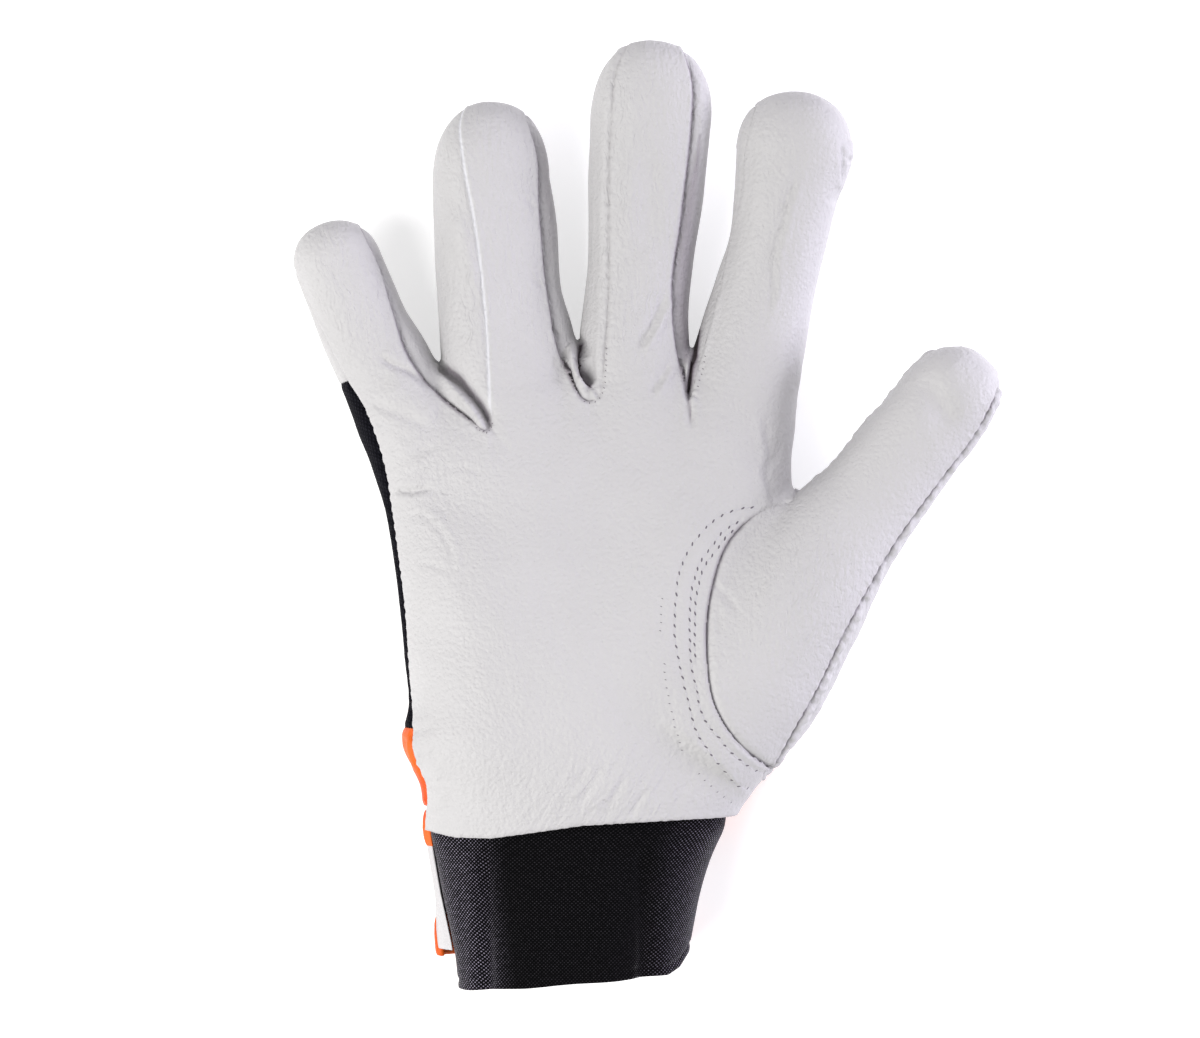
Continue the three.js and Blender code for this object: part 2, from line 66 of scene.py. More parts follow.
# Sections of the fingers and the thumb, from inside the palm to the last full one before the rounded tip:
# x, y, z the centre, half its half width, deep its half depth, roll its turn about the finger in degrees.
# The tip is rounded off over its length and leans from +Y towards +X by some degrees.
FINGERS = {
    "pinky": {
        "tip": 12.0,
        "lean": -24,
        "rows": [
            (-55.0, 6.0, 15.5, 10.0, 11.0, 0),
            (-62.2, 24.0, 15.0, 13.2, 13.2, 0),
            (-68.8, 39.0, 15.2, 12.9, 12.3, 0),
            (-74.2, 49.5, 16.8, 12.0, 11.4, 0),
            (-77.3, 58.0, 18.6, 11.6, 10.9, 0),
            (-80.4, 66.2, 20.6, 11.5, 10.4, 0),
        ],
    },
    "ring": {
        "tip": 20.6,
        "lean": 2,
        "rows": [
            (-33.4, 8.0, 14.6, 14.0, 12.4, 0),
            (-34.6, 28.0, 14.9, 17.5, 14.2, 6),
            (-36.2, 45.0, 15.2, 17.7, 13.1, 12),
            (-38.1, 58.0, 16.4, 16.4, 12.0, 14),
            (-39.2, 74.0, 18.8, 16.2, 11.6, 14),
            (-40.4, 88.6, 21.6, 15.2, 11.0, 12),
        ],
    },
    "middle": {
        "tip": 21.0,
        "lean": 4,
        "rows": [
            (-2.0, 8.0, 14.6, 13.5, 12.4, 0),
            (-2.2, 28.0, 14.9, 15.4, 14.2, 0),
            (-2.6, 45.0, 15.2, 14.6, 13.1, 0),
            (-2.0, 57.0, 16.4, 13.8, 12.0, 0),
            (-0.9, 70.0, 18.2, 13.9, 11.7, 0),
            (0.8, 87.0, 21.4, 15.2, 11.4, 0),
            (1.6, 104.0, 25.6, 15.9, 11.0, 0),
        ],
    },
    "index": {
        "tip": 16.2,
        "lean": 3,
        "rows": [
            (19.0, 4.0, 15.0, 12.0, 11.4, 0),
            (24.2, 28.0, 14.9, 15.0, 14.2, -3),
            (28.2, 45.0, 15.2, 14.2, 13.1, -6),
            (31.8, 59.0, 16.6, 13.2, 12.0, -8),
            (35.4, 73.5, 19.0, 12.7, 11.6, -8),
            (37.2, 84.5, 21.2, 13.6, 11.4, -8),
            (39.4, 95.5, 23.5, 15.3, 11.2, -8),
        ],
    },
    "thumb": {
        "tip": 17.4,
        "lean": 40,
        "rows": [
            (13.0, -58.0, 21.0, 19.0, 18.4, 0),
            (25.6, -44.0, 21.4, 20.8, 19.0, 0),
            (37.4, -25.0, 22.0, 19.8, 18.2, 0),
            (48.8, -8.6, 22.6, 16.8, 16.0, 0),
            (58.9, 3.2, 23.6, 14.2, 14.0, 0),
            (67.6, 15.2, 25.0, 13.3, 12.8, 0),
            (77.4, 28.2, 27.0, 13.0, 12.0, 0),
        ],
    },
    "web_pinky_ring": {
        "tip": 8.5,
        "lean": -20,
        "rows": [(-46.0, 16.0, 14.6, 5.5, 12.6, 0), (-51.4, 30.0, 14.8, 5.0, 10.8, 0)],
    },
    "web_ring_middle": {
        "tip": 8.5,
        "lean": 0,
        "rows": [(-17.2, 20.0, 14.6, 5.5, 12.6, 0), (-17.6, 38.0, 15.2, 4.6, 10.8, 0)],
    },
    "web_middle_index": {
        "tip": 8.5,
        "lean": 0,
        "rows": [(11.4, 20.0, 14.6, 5.5, 12.6, 0), (11.9, 36.0, 15.2, 4.6, 10.8, 0)],
    },
}
# Sections of the hand: x its middle, y, half its half width, top the palm's height, base the back's height
# before it is pressed flat
HAND = [
    (-18.6, -91.0, 40.2, 36.0, -1.5),
    (-17.5, -80.5, 41.4, 38.0, -1.5),
    (-14.9, -71.5, 44.4, 39.8, -1.5),
    (-13.6, -60.0, 50.4, 41.4, -1.5),
    (-12.8, -50.0, 49.4, 41.6, -1.5),
    (-12.8, -36.0, 50.6, 41.0, -1.5),
    (-13.4, -18.0, 52.0, 38.8, -1.5),
    (-14.6, 0.0, 53.6, 35.8, -1.5),
    (-16.6, 15.0, 55.4, 32.8, -1.5),
    (-17.4, 26.0, 56.0, 29.7, -1.2),
    (-16.8, 33.5, 51.8, 26.6, 0.6),
    (-15.4, 39.0, 37.6, 22.0, 5.0),
]
# Broad dents of the palm: x, y, reach along and across a heading (degrees from +X), and how deep
DENTS = [
    (-16, -8, 34, 22, 80, 2.6),
    (-44, -44, 26, 14, 100, -1.2),
    (-52, 6, 16, 8, 150, 1.6),
    (22, 18, 20, 8, 120, -1.4),
    (34, 12, 17, 9, 100, -2.6),
    (8, -62, 22, 9, 130, 1.4),
    (-58, -30, 14, 7, 160, 1.2),
]
SQUARE_FINGER = 2.4  # superellipse exponents of the sections, 2 is an ellipse
SQUARE_PALM = 2.7
SQUARE_CUFF = 2.2
ROUND_TIP = 2.2
SOFTEN_FINGERS = 1.2  # how far neighbouring forms run into each other
SOFTEN_HAND = 4.5
SOFTEN_FLOOR = 2.4
FAR = 9.0  # distances from the skin and from the seams are counted no further
SKIN_BOX = ((-97.0, -89.0, -2.0), (98.0, 130.0, 46.0))  # corners of the grid that the skin is read on
FINGER_STEPS = 40  # sections that a finger is read at, and the hand and the cuff
HAND_STEPS = 90
CUFF_STEPS = 80

# The knit cuff: x its middle, y, half its half width, deep its half depth, base its height over the floor
CUFF = [
    (-15.8, -68.0, 38.8, 16.2, 2.0),
    (-16.6, -74.5, 38.8, 16.2, 2.1),
    (-17.2, -78.0, 39.0, 16.3, 3.0),
    (-17.7, -82.4, 38.8, 16.4, 3.4),
    (-18.4, -87.1, 37.4, 16.6, 3.4),
    (-19.1, -93.8, 35.7, 16.9, 3.5),
    (-19.4, -100.5, 34.1, 17.2, 3.5),
    (-19.4, -107.2, 32.6, 17.5, 3.6),
    (-19.4, -113.9, 31.2, 17.7, 3.6),
    (-19.4, -125.4, 29.9, 18.0, 3.6),
]
CUFF_ROWS = 84
CUFF_SIDES = 280
CUFF_TOP = -73.0
KNIT_PITCH = (1.1, 0.96)  # from stitch to stitch, round the wrist and along it
CUFF_EDGE = [(-56, -124.8), (-20, -122), (5.6, -119.9), (9, -118), (11.4, -114.4), (13.6, -106)]
# Folds down the cuff's palm side: x, how deep, how wide
CUFF_FOLDS = [(-41.4, 1.0, 1.8), (-45, -0.4, 2.0), (-0.4, 1.1, 2.0), (4.4, -0.5, 2.6)]
# The strap: distance down the wrist, and the x that it reaches on the little-finger side
STRAP = [
    (77.6, -58.8), (83, -58.6), (87, -57.2), (96, -56.8), (104, -56.8), (109, -57.8), (116.6, -57.4),
]
# Each band's reach along the wrist, its thickness, and the degrees round the wrist from the thumb side that
# it runs between, over the back at 270. A band starts at a share of its thickness, 0.2 where none is given.
STRAP_BANDS = {
    "strap_binding_upper": {"y": (-77.6, -87.2), "thick": 2.3, "ends": (178, 322)},
    "wrist_strap": {"y": (-84.0, -114.6), "thick": 1.5, "ends": (180, 321)},
    "strap_binding_lower": {"y": (-105.0, -116.6), "thick": 2.3, "ends": (193, 322), "start": 1.0},
}
STRAP_CLEAR = 0.5
STRAP_FLARE = (180, 202)  # degrees over which it swings out from the cuff's side
STRAP_PULLED = (262, 205)  # degrees over which it is pulled out to the x of its table
STRAP_LIFT = 1.15  # from the cuff to the middle of a band
STRAP_BOW = 2.3  # how far a band's outer face would lie from the cuff's side
STRAP_STEPS = 90
BAND_SIDES = 28

# Seams as seen from above the palm: points x, y that a smooth curve goes through
SEAMS = {
    "pinky_outer": [(-96, 75), (-92.4, 66.3), (-86.5, 52.3), (-78.6, 35.7)],
    "palm_outer": [
        (-73.7, 28.3), (-69.8, 18.6), (-67.9, 11), (-66.6, 3), (-62.8, -26.7), (-61.9, -40), (-61.0, -50),
        (-60.6, -56), (-60.1, -61), (-58.7, -66.5), (-57.4, -70.5), (-57.0, -74), (-57.4, -77.2),
        (-57.7, -80.5), (-57.7, -94),
    ],
    "pinky_inner": [(-74.6, 76.6), (-69.7, 66.5), (-66.3, 55), (-61.8, 41.5), (-54.4, 32.2), (-45.7, 25.2)],
    "ring_left": [(-40.7, 30), (-41.6, 50), (-44.5, 76.5), (-47.5, 94), (-48.2, 104), (-46.6, 109)],
    "ring_right": [(-32.2, 108.6), (-28.2, 96.3), (-27.4, 80), (-25.3, 59), (-22, 42), (-18.1, 33.4)],
    "middle_left": [(-11, 35.4), (-9.7, 50), (-9.2, 81), (-8.7, 104), (-7.1, 117.4), (-4.4, 123.4)],
    "middle_right": [(10, 123), (12.4, 114), (12.2, 101.3), (9.9, 80), (7.3, 60), (8.6, 44), (10.2, 36)],
    "index_left": [(13, 35), (17.8, 51.2), (22.4, 71.5), (25.6, 86), (26.6, 98), (29.4, 107.6)],
    "thumb_base": [
        (38.9, 4.4), (29.1, 0.4), (22.2, -6.1), (17.6, -18),
        (15.9, -34), (18.3, -50), (25, -60), (33.4, -66.8),
    ],
    "thumb_outer": [
        (33.4, -66.8), (39.2, -55.6), (45.6, -44.4), (53.2, -28),
        (64.4, -9.4), (77.8, 10), (87.6, 23.5), (93.6, 37),
    ],
}
# Where the seams turn round between two fingers
CROTCHES = {
    "pinky_ring": [(-43.4, 23.0), (-41.7, 22.2), (-40.3, 24.2)],
    "ring_middle": [(-16.8, 31.3), (-14.8, 30.2), (-12.6, 30.8), (-11.3, 32.8)],
    "middle_index": [(11.6, 30.2)],
}
# The strips between the fingers: the seam on each side, and two points that close them past the fingertips
GUSSETS = {
    "pinky_ring": ("pinky_inner", "ring_left", [(-50, 114), (-68, 112)]),
    "ring_middle": ("ring_right", "middle_left", [(-8, 130), (-26, 124)]),
    "middle_index": ("middle_right", "index_left", [(27, 114), (16, 128)]),
}
# The side seams, seen from the side: distance along, and height
SIDE_SEAM = [(-140, 19), (-84, 19), (-62, 11.5), (0, 11), (45, 14), (75, 18.6), (100, 23.6), (140, 33)]
THUMB_HEADING = 36  # degrees from +Y, the way that the thumb's side seam is measured along
THUMB_SEAM = [(-120, 19), (-40, 19), (2, 21), (37, 22.8), (52, 24.2), (68, 26.4), (86, 29.6), (120, 36)]
# Outlines and lines across the glove, seen from above
THUMB_BACK = [
    (40.6, 7), (60, 60), (110, 60), (110, -20), (60, -70),
    (31, -71), (35, -50), (36.6, -25), (38.6, -5),
]
HEM = [(-62, -81.6), (-50, -83.9), (-40, -84), (-16, -80.5), (11, -79.1), (34, -78.6)]
KNUCKLE_LINE = [(-100, 29), (-78.6, 35.5), (-60, 38), (-30, 40.5), (0, 41.5), (30, 40), (60, 36)]
YOKE_LINE = -55.5
YOKE_HEM = [(-90, -76), (14, -76), (18.5, -81.5), (60, -80)]
FINGER_SPANS = {"pinky": (-110, -56), "ring": (-56, -18), "middle": (-18, 13), "index": (13, 70)}

# How each seam lies. The panel nearer the palm has a lip, and rolls in at its edge; the one beside it drops
# towards the seam over a reach, may puff up behind it, and may go under the first by a little. Then the open
# gap, the height of the puckers at the stitches, and how much painted shade darkens the seam line, below 0
# a painted highlight along it instead.
SEAM_COLUMNS = ("lip", "roll", "drop", "reach", "puff", "under", "gap", "pucker", "shade")
SEAM_LOOKS = {
    "plain": (0.05, 0.12, 0.4, 1.6, 0, 0.1, 0, 0.02, 0.2),
    "pinky_outer": (0.1, 0.3, 0.9, 2.2, 0, 0.2, 0, 0.08, 0.1),
    "palm_outer": (0.05, 0.3, 1.5, 3.0, 0, 0.3, 0, 0.08, 0.0),
    "pinky_inner": (0.12, 0.5, 1.7, 4.5, 0, 0.5, 0, 0.04, 0.9),
    "ring_left": (0.3, 0, 0.35, 1.4, 0, 0.3, 0, 0.01, -0.6),
    "ring_right": (0.12, 0.5, 1.9, 5.0, 0, 0.5, 0, 0.03, 1.0),
    "middle_left": (0.1, 0.2, 0.5, 1.2, 0.35, 0.3, 0, 0.12, 0.15),
    "middle_right": (0.25, 0.35, 1.9, 4.6, 0, 0.5, 0, 0.06, 1.0),
    "index_left": (0.15, 0.0, 0.4, 2.0, 0, 0.3, 0, 0.02, 0.0),
    "thumb_base": (0.15, 0.25, 1.3, 2.4, 0, 0.2, 0.16, 0.04, 0.7),
    "thumb_outer": (0.2, 0.5, 1.2, 1.6, 0.4, 0.1, 0.2, 0.16, 0.8),
}

# Where the seams along the fingers run out at the tips
SEAM_TOPS = {"pinky_inner": 77, "ring_left": 112, "ring_right": 111, "middle_left": 126, "middle_right": 125}

# Folds and creases of the worn-in leather, seen from above: the kind of each, how far it stands up or goes
# in, half its width, and its way. A crease is a groove with soft lips. A fold stands up on the left of its
# way and dips on the right. A ridge is a rounded rise. A cut is a deep groove, and a tuck one that a roll on
# its left hangs over.
FOLDS = {
    "pinky_base": (
        "crease", 0.7, 0.95,
        [(-70.6, 42.6), (-66.9, 40.3), (-63.1, 38.7), (-59.8, 36.8), (-55.4, 33.0)],
    ),
    "pinky_base_swell": ("ridge", 0.25, 2.2, [(-68, 44.4), (-65, 42.6), (-62, 41)]),
    "pinky_tick": ("crease", 0.12, 0.6, [(-66.4, 43.0), (-64.6, 43.2), (-62.8, 44.6)]),
    "pinky_lobe": ("ridge", 0.9, 4.2, [(-69, 35.4), (-61, 31.6), (-53, 26.4)]),
    "pinky_to_palm": ("crease", 0.4, 1.2, [(-73, 30.7), (-66.8, 27.9), (-61.2, 25.5), (-55.1, 22.7)]),
    "pinky_ring_slit": (
        "tuck", 3.4, 1.1,
        [(-40.6, 23.2), (-41.7, 25.8), (-43.5, 28.7), (-46, 31.7), (-49.6, 35.5), (-53.4, 38.8)],
    ),
    "crotch_ray_a": ("crease", 0.35, 0.9, [(-39.6, 22.2), (-35.3, 16.6)]),
    "crotch_ray_b": ("crease", 0.35, 0.8, [(-40.5, 21.7), (-38.2, 15.2)]),
    "edge_slant": ("crease", 0.5, 1.1, [(-64.8, 13.8), (-61.4, 15.9), (-57.9, 17.6), (-54.1, 18.3)]),
    "edge_level": ("crease", 0.8, 1.0, [(-65.8, 7.2), (-62.1, 6.6), (-57.9, 7.2), (-55.9, 7.9)]),
    "heel_arc": (
        "fold", 0.3, 1.1,
        [(-64.8, 1), (-57.9, 1), (-53.8, -2.1), (-51, -6.2), (-49.7, -11), (-49.3, -16.5)],
    ),
    "heel_arc_low": ("crease", 0.2, 1.0, [(-59.3, -12.4), (-55.2, -12.7), (-51, -14.5)]),
    "under_pinky": ("crease", 0.3, 0.9, [(-52.4, 13.1), (-46.9, 12.4), (-41.4, 11)]),
    "ring_tick_a": ("crease", 0.35, 0.7, [(-31.8, 83.9), (-28.1, 80.2)]),
    "ring_tick_b": ("crease", 0.35, 0.7, [(-29.9, 62.8), (-26.2, 60.3)]),
    "ring_tick_c": ("crease", 0.5, 0.9, [(-24.3, 50.4), (-21.9, 46.6)]),
    "ring_flank": ("ridge", 0.7, 2.4, [(-49.8, 80.8), (-46.7, 68.4), (-44.8, 59.1)]),
    "ring_middle_slit": ("tuck", 3.8, 1.1, [(-14.2, 34.2), (-15.9, 37.2), (-16.9, 41.2), (-17.3, 45.8)]),
    "ring_middle_roll": ("ridge", 1.0, 1.3, [(-17.8, 36.6), (-16.0, 35.8), (-14.6, 33.6)]),
    "middle_base_a": ("fold", 0.8, 1.4, [(6.6, 58.6), (4.2, 52.9), (1.6, 47.4), (-1.2, 43.2)]),
    "middle_base_b": ("fold", 0.6, 1.3, [(7.6, 40.6), (5.9, 37.6), (4.0, 34.4), (2.4, 31.6)]),
    "middle_index_slit": ("cut", 2.8, 1.15, [(11.5, 30.6), (11.8, 34.2), (12.4, 38), (13.2, 43.6)]),
    "middle_index_tail": ("crease", 0.6, 0.8, [(11.0, 34), (11.6, 30.4), (12.1, 26.7), (12.4, 23)]),
    "middle_index_ray": ("crease", 0.3, 0.6, [(12.0, 32.4), (14.8, 30.6)]),
    "middle_index_ray_b": ("crease", 0.25, 0.5, [(12.4, 34), (15.0, 33)]),
    "middle_groove": ("crease", 0.5, 3.6, [(0.9, 96), (1.3, 84), (0.6, 70)]),
    "index_long": (
        "fold", 0.55, 0.9,
        [
            (41.4, 91.8), (39.8, 86.4), (37.9, 81), (37.1, 76.3),
            (35.2, 70.2), (34.5, 64.8), (34.6, 59.3), (32, 50),
        ],
    ),
    "index_flank": ("ridge", 0.35, 0.8, [(20.4, 60), (17.6, 49), (15.4, 40.5)]),
    "index_ear": ("crease", 0.4, 0.55, [(51.5, 98.4), (51.8, 95), (52.0, 91), (52.0, 87.4)]),
    "index_ear_swell": ("ridge", 1.0, 1.8, [(54.8, 99.5), (55.4, 96.6), (54.4, 93.4)]),
    "index_ear_step": ("ridge", -0.8, 2.4, [(52.6, 86.6), (51.0, 81)]),
    "index_base": (
        "fold", 0.3, 1.4,
        [(33.6, 1.8), (32.3, 6.8), (31.1, 11.4), (32.3, 16.8), (31.1, 21.5), (30.7, 28.4)],
    ),
    "index_branch": ("crease", 0.2, 1.0, [(35.9, 21.1), (34.6, 15.3), (31.9, 12.2)]),
    "index_edge": ("crease", 0.35, 1.1, [(40.4, 40.8), (38.1, 34.6)]),
    "thumb_tip": ("crease", 0.8, 4.2, [(72, 37), (76.3, 30.4), (80, 23)]),
    "thumb_pucker_a": ("crease", 0.45, 0.8, [(18.2, -17), (20.3, -20.5), (22.6, -23.4)]),
    "thumb_pucker_b": ("crease", 0.4, 0.7, [(18.4, -18.4), (19.2, -25.1), (19.3, -31)]),
    "thumb_pucker_c": ("crease", 0.35, 0.8, [(19.7, -18.5), (22.3, -21.1), (23.9, -25.7)]),
    "wrist_slant_a": ("crease", 0.35, 1.2, [(-10.5, -64.5), (-14.6, -70.5), (-16.6, -75.2)]),
    "wrist_slant_b": ("crease", 0.4, 1.1, [(-5.2, -68.5), (-9.2, -75.2), (-11.2, -78.6)]),
    "wrist_slant_c": ("crease", 0.35, 1.0, [(0.2, -71.2), (-3.8, -77.9)]),
    "wrist_slant_d": ("crease", 0.35, 1.1, [(-14.6, -65.1), (-18.6, -71.2)]),
    "edge_pucker_a": ("crease", 0.4, 1.2, [(-60.6, -57), (-55, -54.4)]),
    "edge_pucker_b": ("crease", 0.45, 1.3, [(-60, -63.6), (-53.4, -62)]),
    "edge_pucker_c": ("crease", 0.4, 1.3, [(-58.6, -70.4), (-51, -69.4)]),
    "edge_pucker_d": ("crease", 0.35, 1.2, [(-56.4, -76.6), (-49.6, -74)]),
    "scar": ("crease", 0.35, 0.5, [(-17.6, -54.4), (-16.9, -55.7), (-17.1, -56.8)]),
    "yoke_fold": ("fold", 1.0, 1.6, [(-62.4, -57.5), (-62, -62), (-60.4, -67)]),
}

# Painted shade in the deepest tucks, and on gusset flanks that lie in a neighbouring finger's shadow: how
# dark, and the way with half its width at each point
SHADES = {
    "pinky_ring": (
        0.95,
        [(-40.7, 24, 0.35), (-41.6, 26.6, 0.7), (-43.4, 29.6, 0.9), (-46, 32.5, 0.9), (-52.8, 39, 0.7)],
    ),
    "ring_middle": (
        1.9,
        [(-14.3, 34.2, 0.3), (-15.8, 37.0, 0.8), (-16.5, 40.0, 0.8), (-17.0, 43.5, 0.6), (-17.2, 46, 0.4)],
    ),
    "middle_index": (
        1.9,
        [(11.4, 33.2, 0.4), (11.9, 35.6, 0.9), (12.7, 39.4, 1.0), (13.5, 43.6, 0.8), (14.6, 49.6, 0.4)],
    ),
    "middle_index_tail": (0.8, [(11.4, 33.4, 0.45), (11.8, 29, 0.35), (12.3, 24.8, 0.2)]),
    "middle_flank": (
        0.7,
        [(11.2, 42, 1.6), (10.2, 60, 2.2), (12.0, 80, 2.0), (13.8, 91, 1.0), (14.8, 100, 0.15)],
    ),
    "ring_flank": (0.3, [(-24.6, 66, 0.5), (-25.0, 82, 1.6), (-26.2, 96, 1.2), (-27.4, 105, 0.2)]),
}

# Rows of stitches on the palm, seen from above: the step from stitch to stitch, whether the row is faint, and
# its way
STITCH_ROWS = {
    "outer": (
        2.75, False,
        [
            (29.6, 2.6), (25.4, 2.0), (21.1, 0.7), (16.6, -2.5), (12.5, -7.4), (9.9, -12.2), (8.4, -17.7),
            (8.0, -22.1), (7.7, -27.4), (8.2, -34.6), (9.5, -40.8), (11.2, -47.9), (13.0, -55.1),
            (16.2, -60.4), (20.2, -65.7), (24.6, -70.7), (28.2, -71.5),
        ],
    ),
    "inner": (
        2.7, False,
        [
            (25.4, -0.9), (21.5, -3.2), (17.7, -7.6), (14.9, -11.3), (12.6, -17.6), (11.8, -24.8),
            (11.6, -31.0), (12.0, -38.1), (13.4, -45.2), (15.3, -52.4), (19.3, -57.7), (23.8, -62.6),
            (28.2, -66.2), (31.7, -67.6),
        ],
    ),
    "inner_second": (
        2.7, False,
        [
            (26.4, -2.0), (22.4, -4.3), (18.9, -8.5), (16.2, -12.1), (13.9, -18.0), (13.1, -25.0),
            (12.9, -31.0), (13.1, -37.6),
        ],
    ),
    "faint_upper": (2.1, True, [(4.6, -20.3), (4.1, -26.5), (4.3, -31.5)]),
    "faint_lower": (2.1, True, [(4.9, -37.3), (5.4, -43.5), (6.7, -49.7), (8.2, -56.0), (9.8, -61.0)]),
    "faint_wrist": (2.3, True, [(13.4, -66.2), (17.4, -70.6), (23.6, -75.6)]),
    "index_root": (1.7, True, [(16.0, 43.2), (15.6, 39.4), (14.4, 35.4), (14.0, 33.6)]),
    "pinky_ring_root": (
        1.0, True,
        [(-44.4, 23.6), (-43.0, 22.5), (-41.7, 21.9), (-40.4, 22.9), (-39.9, 24.8)],
    ),
    "ring_middle_root": (
        1.5, True,
        [(-10.0, 48), (-10.1, 42), (-10.3, 37.6), (-10.9, 32.9), (-12.6, 30.4), (-15, 29.8), (-17, 31)],
    ),
}
STITCH_JITTER = 0.07
CHANNEL_DEPTH, FAINT_CHANNEL_DEPTH = 0.2, 0.07  # of the channel that a row pulls into the leather
CHANNEL_WIDTH = 0.75
HOLE_SLANT, FAINT_SLANT = 24, 66  # degrees from the row's way
HOLE_HEIGHT = 0.00012  # metres

SEAM_STEP = 2.5  # steps along the seams where the regions are cut out
SEAM_SHARES = 5  # places that are taken on each triangle that a seam crosses
SEAM_SEARCH = 7.0  # a point further inside its panel than this is at no seam
SCALLOP_PITCH = {"outer": 2.6, "hem": 2.9}
PUCKER_PITCH = 2.9
PUCKER_WAY = (0.35, 0.9, 0.2)
RIB_HEIGHT = 0.2
RIB_WAY = (0.9, 1.9, 0.9)  # across the ribs of the fabric that shows beside the palm's edge

# Random swells, each a sum of waves: height, length, and the seed of the draw
SWELL_WAVES = 14
SWELLS = {
    "skin": (0.24, 34, 5),
    "skin_fine": (0.05, 9, 8),
    "ribs": (0.14, 5, 31),
    "thumb_back": (0.5, 7, 21),
    "thumb_back_fine": (0.3, 3.4, 22),
    "cuff": (0.5, 22, 3),
    "strap": (0.14, 15, 12),
    "binding": (0.14, 8, 12),
}

CLEAN_CUT = 0.03  # a point this near to a cut is taken to lie inside it
FAN_POINT = (-14.0, -200.0, 0.0)  # behind the wrist, where the fingers' lines meet
FAN_REACH = 250.0
# The surface is refined this far round the seams and the stitches, and round deep and narrow folds this many
# half widths
FINE_SEAM = 1.7
FINE_STITCH = 1.3
FINE_FOLD = 1.4
DEEP_FOLD = 0.6
NARROW_FOLD = 2.1

# The stage
FLOOR_CORNERS = [(-3000, -3000, -0.3), (3000, -3000, -0.3), (3000, 3000, -0.3), (-3000, 3000, -0.3)]  # mm
FLOOR_GLOW = 0.5
SURROUND = 0.34  # strength of the light from all around
# Lamps: place and size in metres, power in watts, tint
LAMPS = {
    "key_light": ((-0.54, -0.25, 0.66), 0.7, 10.2, (1.0, 0.995, 0.98)),
    "side_light": ((0.95, 0.05, 0.17), 0.35, 8.2, (0.88, 0.85, 1.0)),
    "fill_light": ((0.62, 0.62, 0.50), 0.6, 5.0, (0.93, 0.90, 1.0)),
}
LAMPS_AIM = (-0.0117, 0.0, 0.0)
CAMERA_PLACE = (-0.0117, -0.00066, 1.225)
CAMERA_SENSOR, CAMERA_LENS = 36.0, 136.7  # millimetres
CAMERA_CLIP = (0.05, 20.0)


# Curves and tables


def travelled(line):
    """The distance along a line of points at each point."""
    return np.concatenate(([0.0], np.cumsum(np.linalg.norm(np.diff(line, axis=0), axis=1))))


def resample(rows, along, at):
    """The rows of a table read off a smooth curve through them."""
    rows = np.asarray(rows, float)
    slope = np.gradient(rows, along, axis=0)
    i = np.clip(np.searchsorted(along, at, "right") - 1, 0, len(along) - 2)
    width = (along[i + 1] - along[i])[:, None]
    t = (at - along[i])[:, None] / width
    a, b = rows[i], rows[i + 1]
    start = (1 + 2 * t) * (1 - t) ** 2 * a + t * (1 - t) ** 2 * width * slope[i]
    end = t * t * (3 - 2 * t) * b - t * t * (1 - t) * width * slope[i + 1]
    return start + end


def smooth_line(points, step):
    """Points at even steps on a smooth curve through a few points in plan."""
    points = np.asarray(points, float)
    along = travelled(points)
    count = max(3, int(round(along[-1] / step)) + 1)
    return resample(points, along, np.linspace(0, along[-1], count))


def offsets(a, d, x, y):
    """From the stretches of a line to points in plan: the way there, the nearest share, and its square."""
    px, py = x[:, None] - a[:, 0], y[:, None] - a[:, 1]
    t = np.clip((px * d[:, 0] + py * d[:, 1]) / (d**2).sum(1), 0, 1)
    return px, py, t, (px - t * d[:, 0]) ** 2 + (py - t * d[:, 1]) ** 2


def beside(line, x, y):
    """The nearest place on a line in plan: stretch, share of it, distance, and +1 left or -1 right of it."""
    d = np.diff(line, axis=0)
    px, py, t, off = offsets(line[:-1], d, x, y)
    k = off.argmin(1)
    n = np.arange(len(x))
    side = np.where(d[k, 0] * py[n, k] - d[k, 1] * px[n, k] >= 0, 1.0, -1.0)
    return k, t[n, k], np.sqrt(off[n, k]), side


def between(values, k, t):
    """The values of a line's points, read off at a share of a stretch."""
    return values[k] * (1 - t) + values[k + 1] * t


def region(outline, x, y):
    """Signed distance in plan from a closed outline, above 0 inside it."""
    closed = np.vstack((outline, outline[:1]))
    a, b = closed[:-1], closed[1:]
    d = b - a
    px, py, _, off = offsets(a, d, x, y)
    spans = (a[:, 1] > y[:, None]) != (b[:, 1] > y[:, None])
    rise = np.where(np.abs(d[:, 1]) < 1e-9, 1e-9, d[:, 1])
    crossed = spans & (px < py * d[:, 0] / rise)
    off = np.sqrt(off.min(1))
    return np.where(crossed.sum(1) % 2 == 1, off, -off)


def in_box(low, high, x, y):
    """The numbers of the points that lie between two corners in plan."""
    return np.flatnonzero((x > low[0]) & (x < high[0]) & (y > low[1]) & (y < high[1]))


def level(line, at):
    """The second column of a table of pairs, read off at values of the first."""
    line = np.asarray(line, float)
    return np.interp(at, line[:, 0], line[:, 1])


def over(line, x, y):
    """How far points in plan lie above a line that runs across the glove, below 0 under it."""
    return y - level(line, x)


def smoothstep(value, low, high):
    """0 at low, 1 at high, and smooth between them."""
    t = np.clip((value - low) / (high - low), 0, 1)
    return t * t * (3 - 2 * t)


def bell(*values):
    """A smooth bump: 1 where every value is 0, and nearly 0 where one of them is over 2."""
    return np.exp(-sum(value**2 for value in values))


def soft_min(a, b, reach):
    """The lesser of two fields, rounded where they come nearer than a reach."""
    near = np.maximum(reach - np.abs(a - b), 0) / reach
    return np.minimum(a, b) - near * near * reach / 4


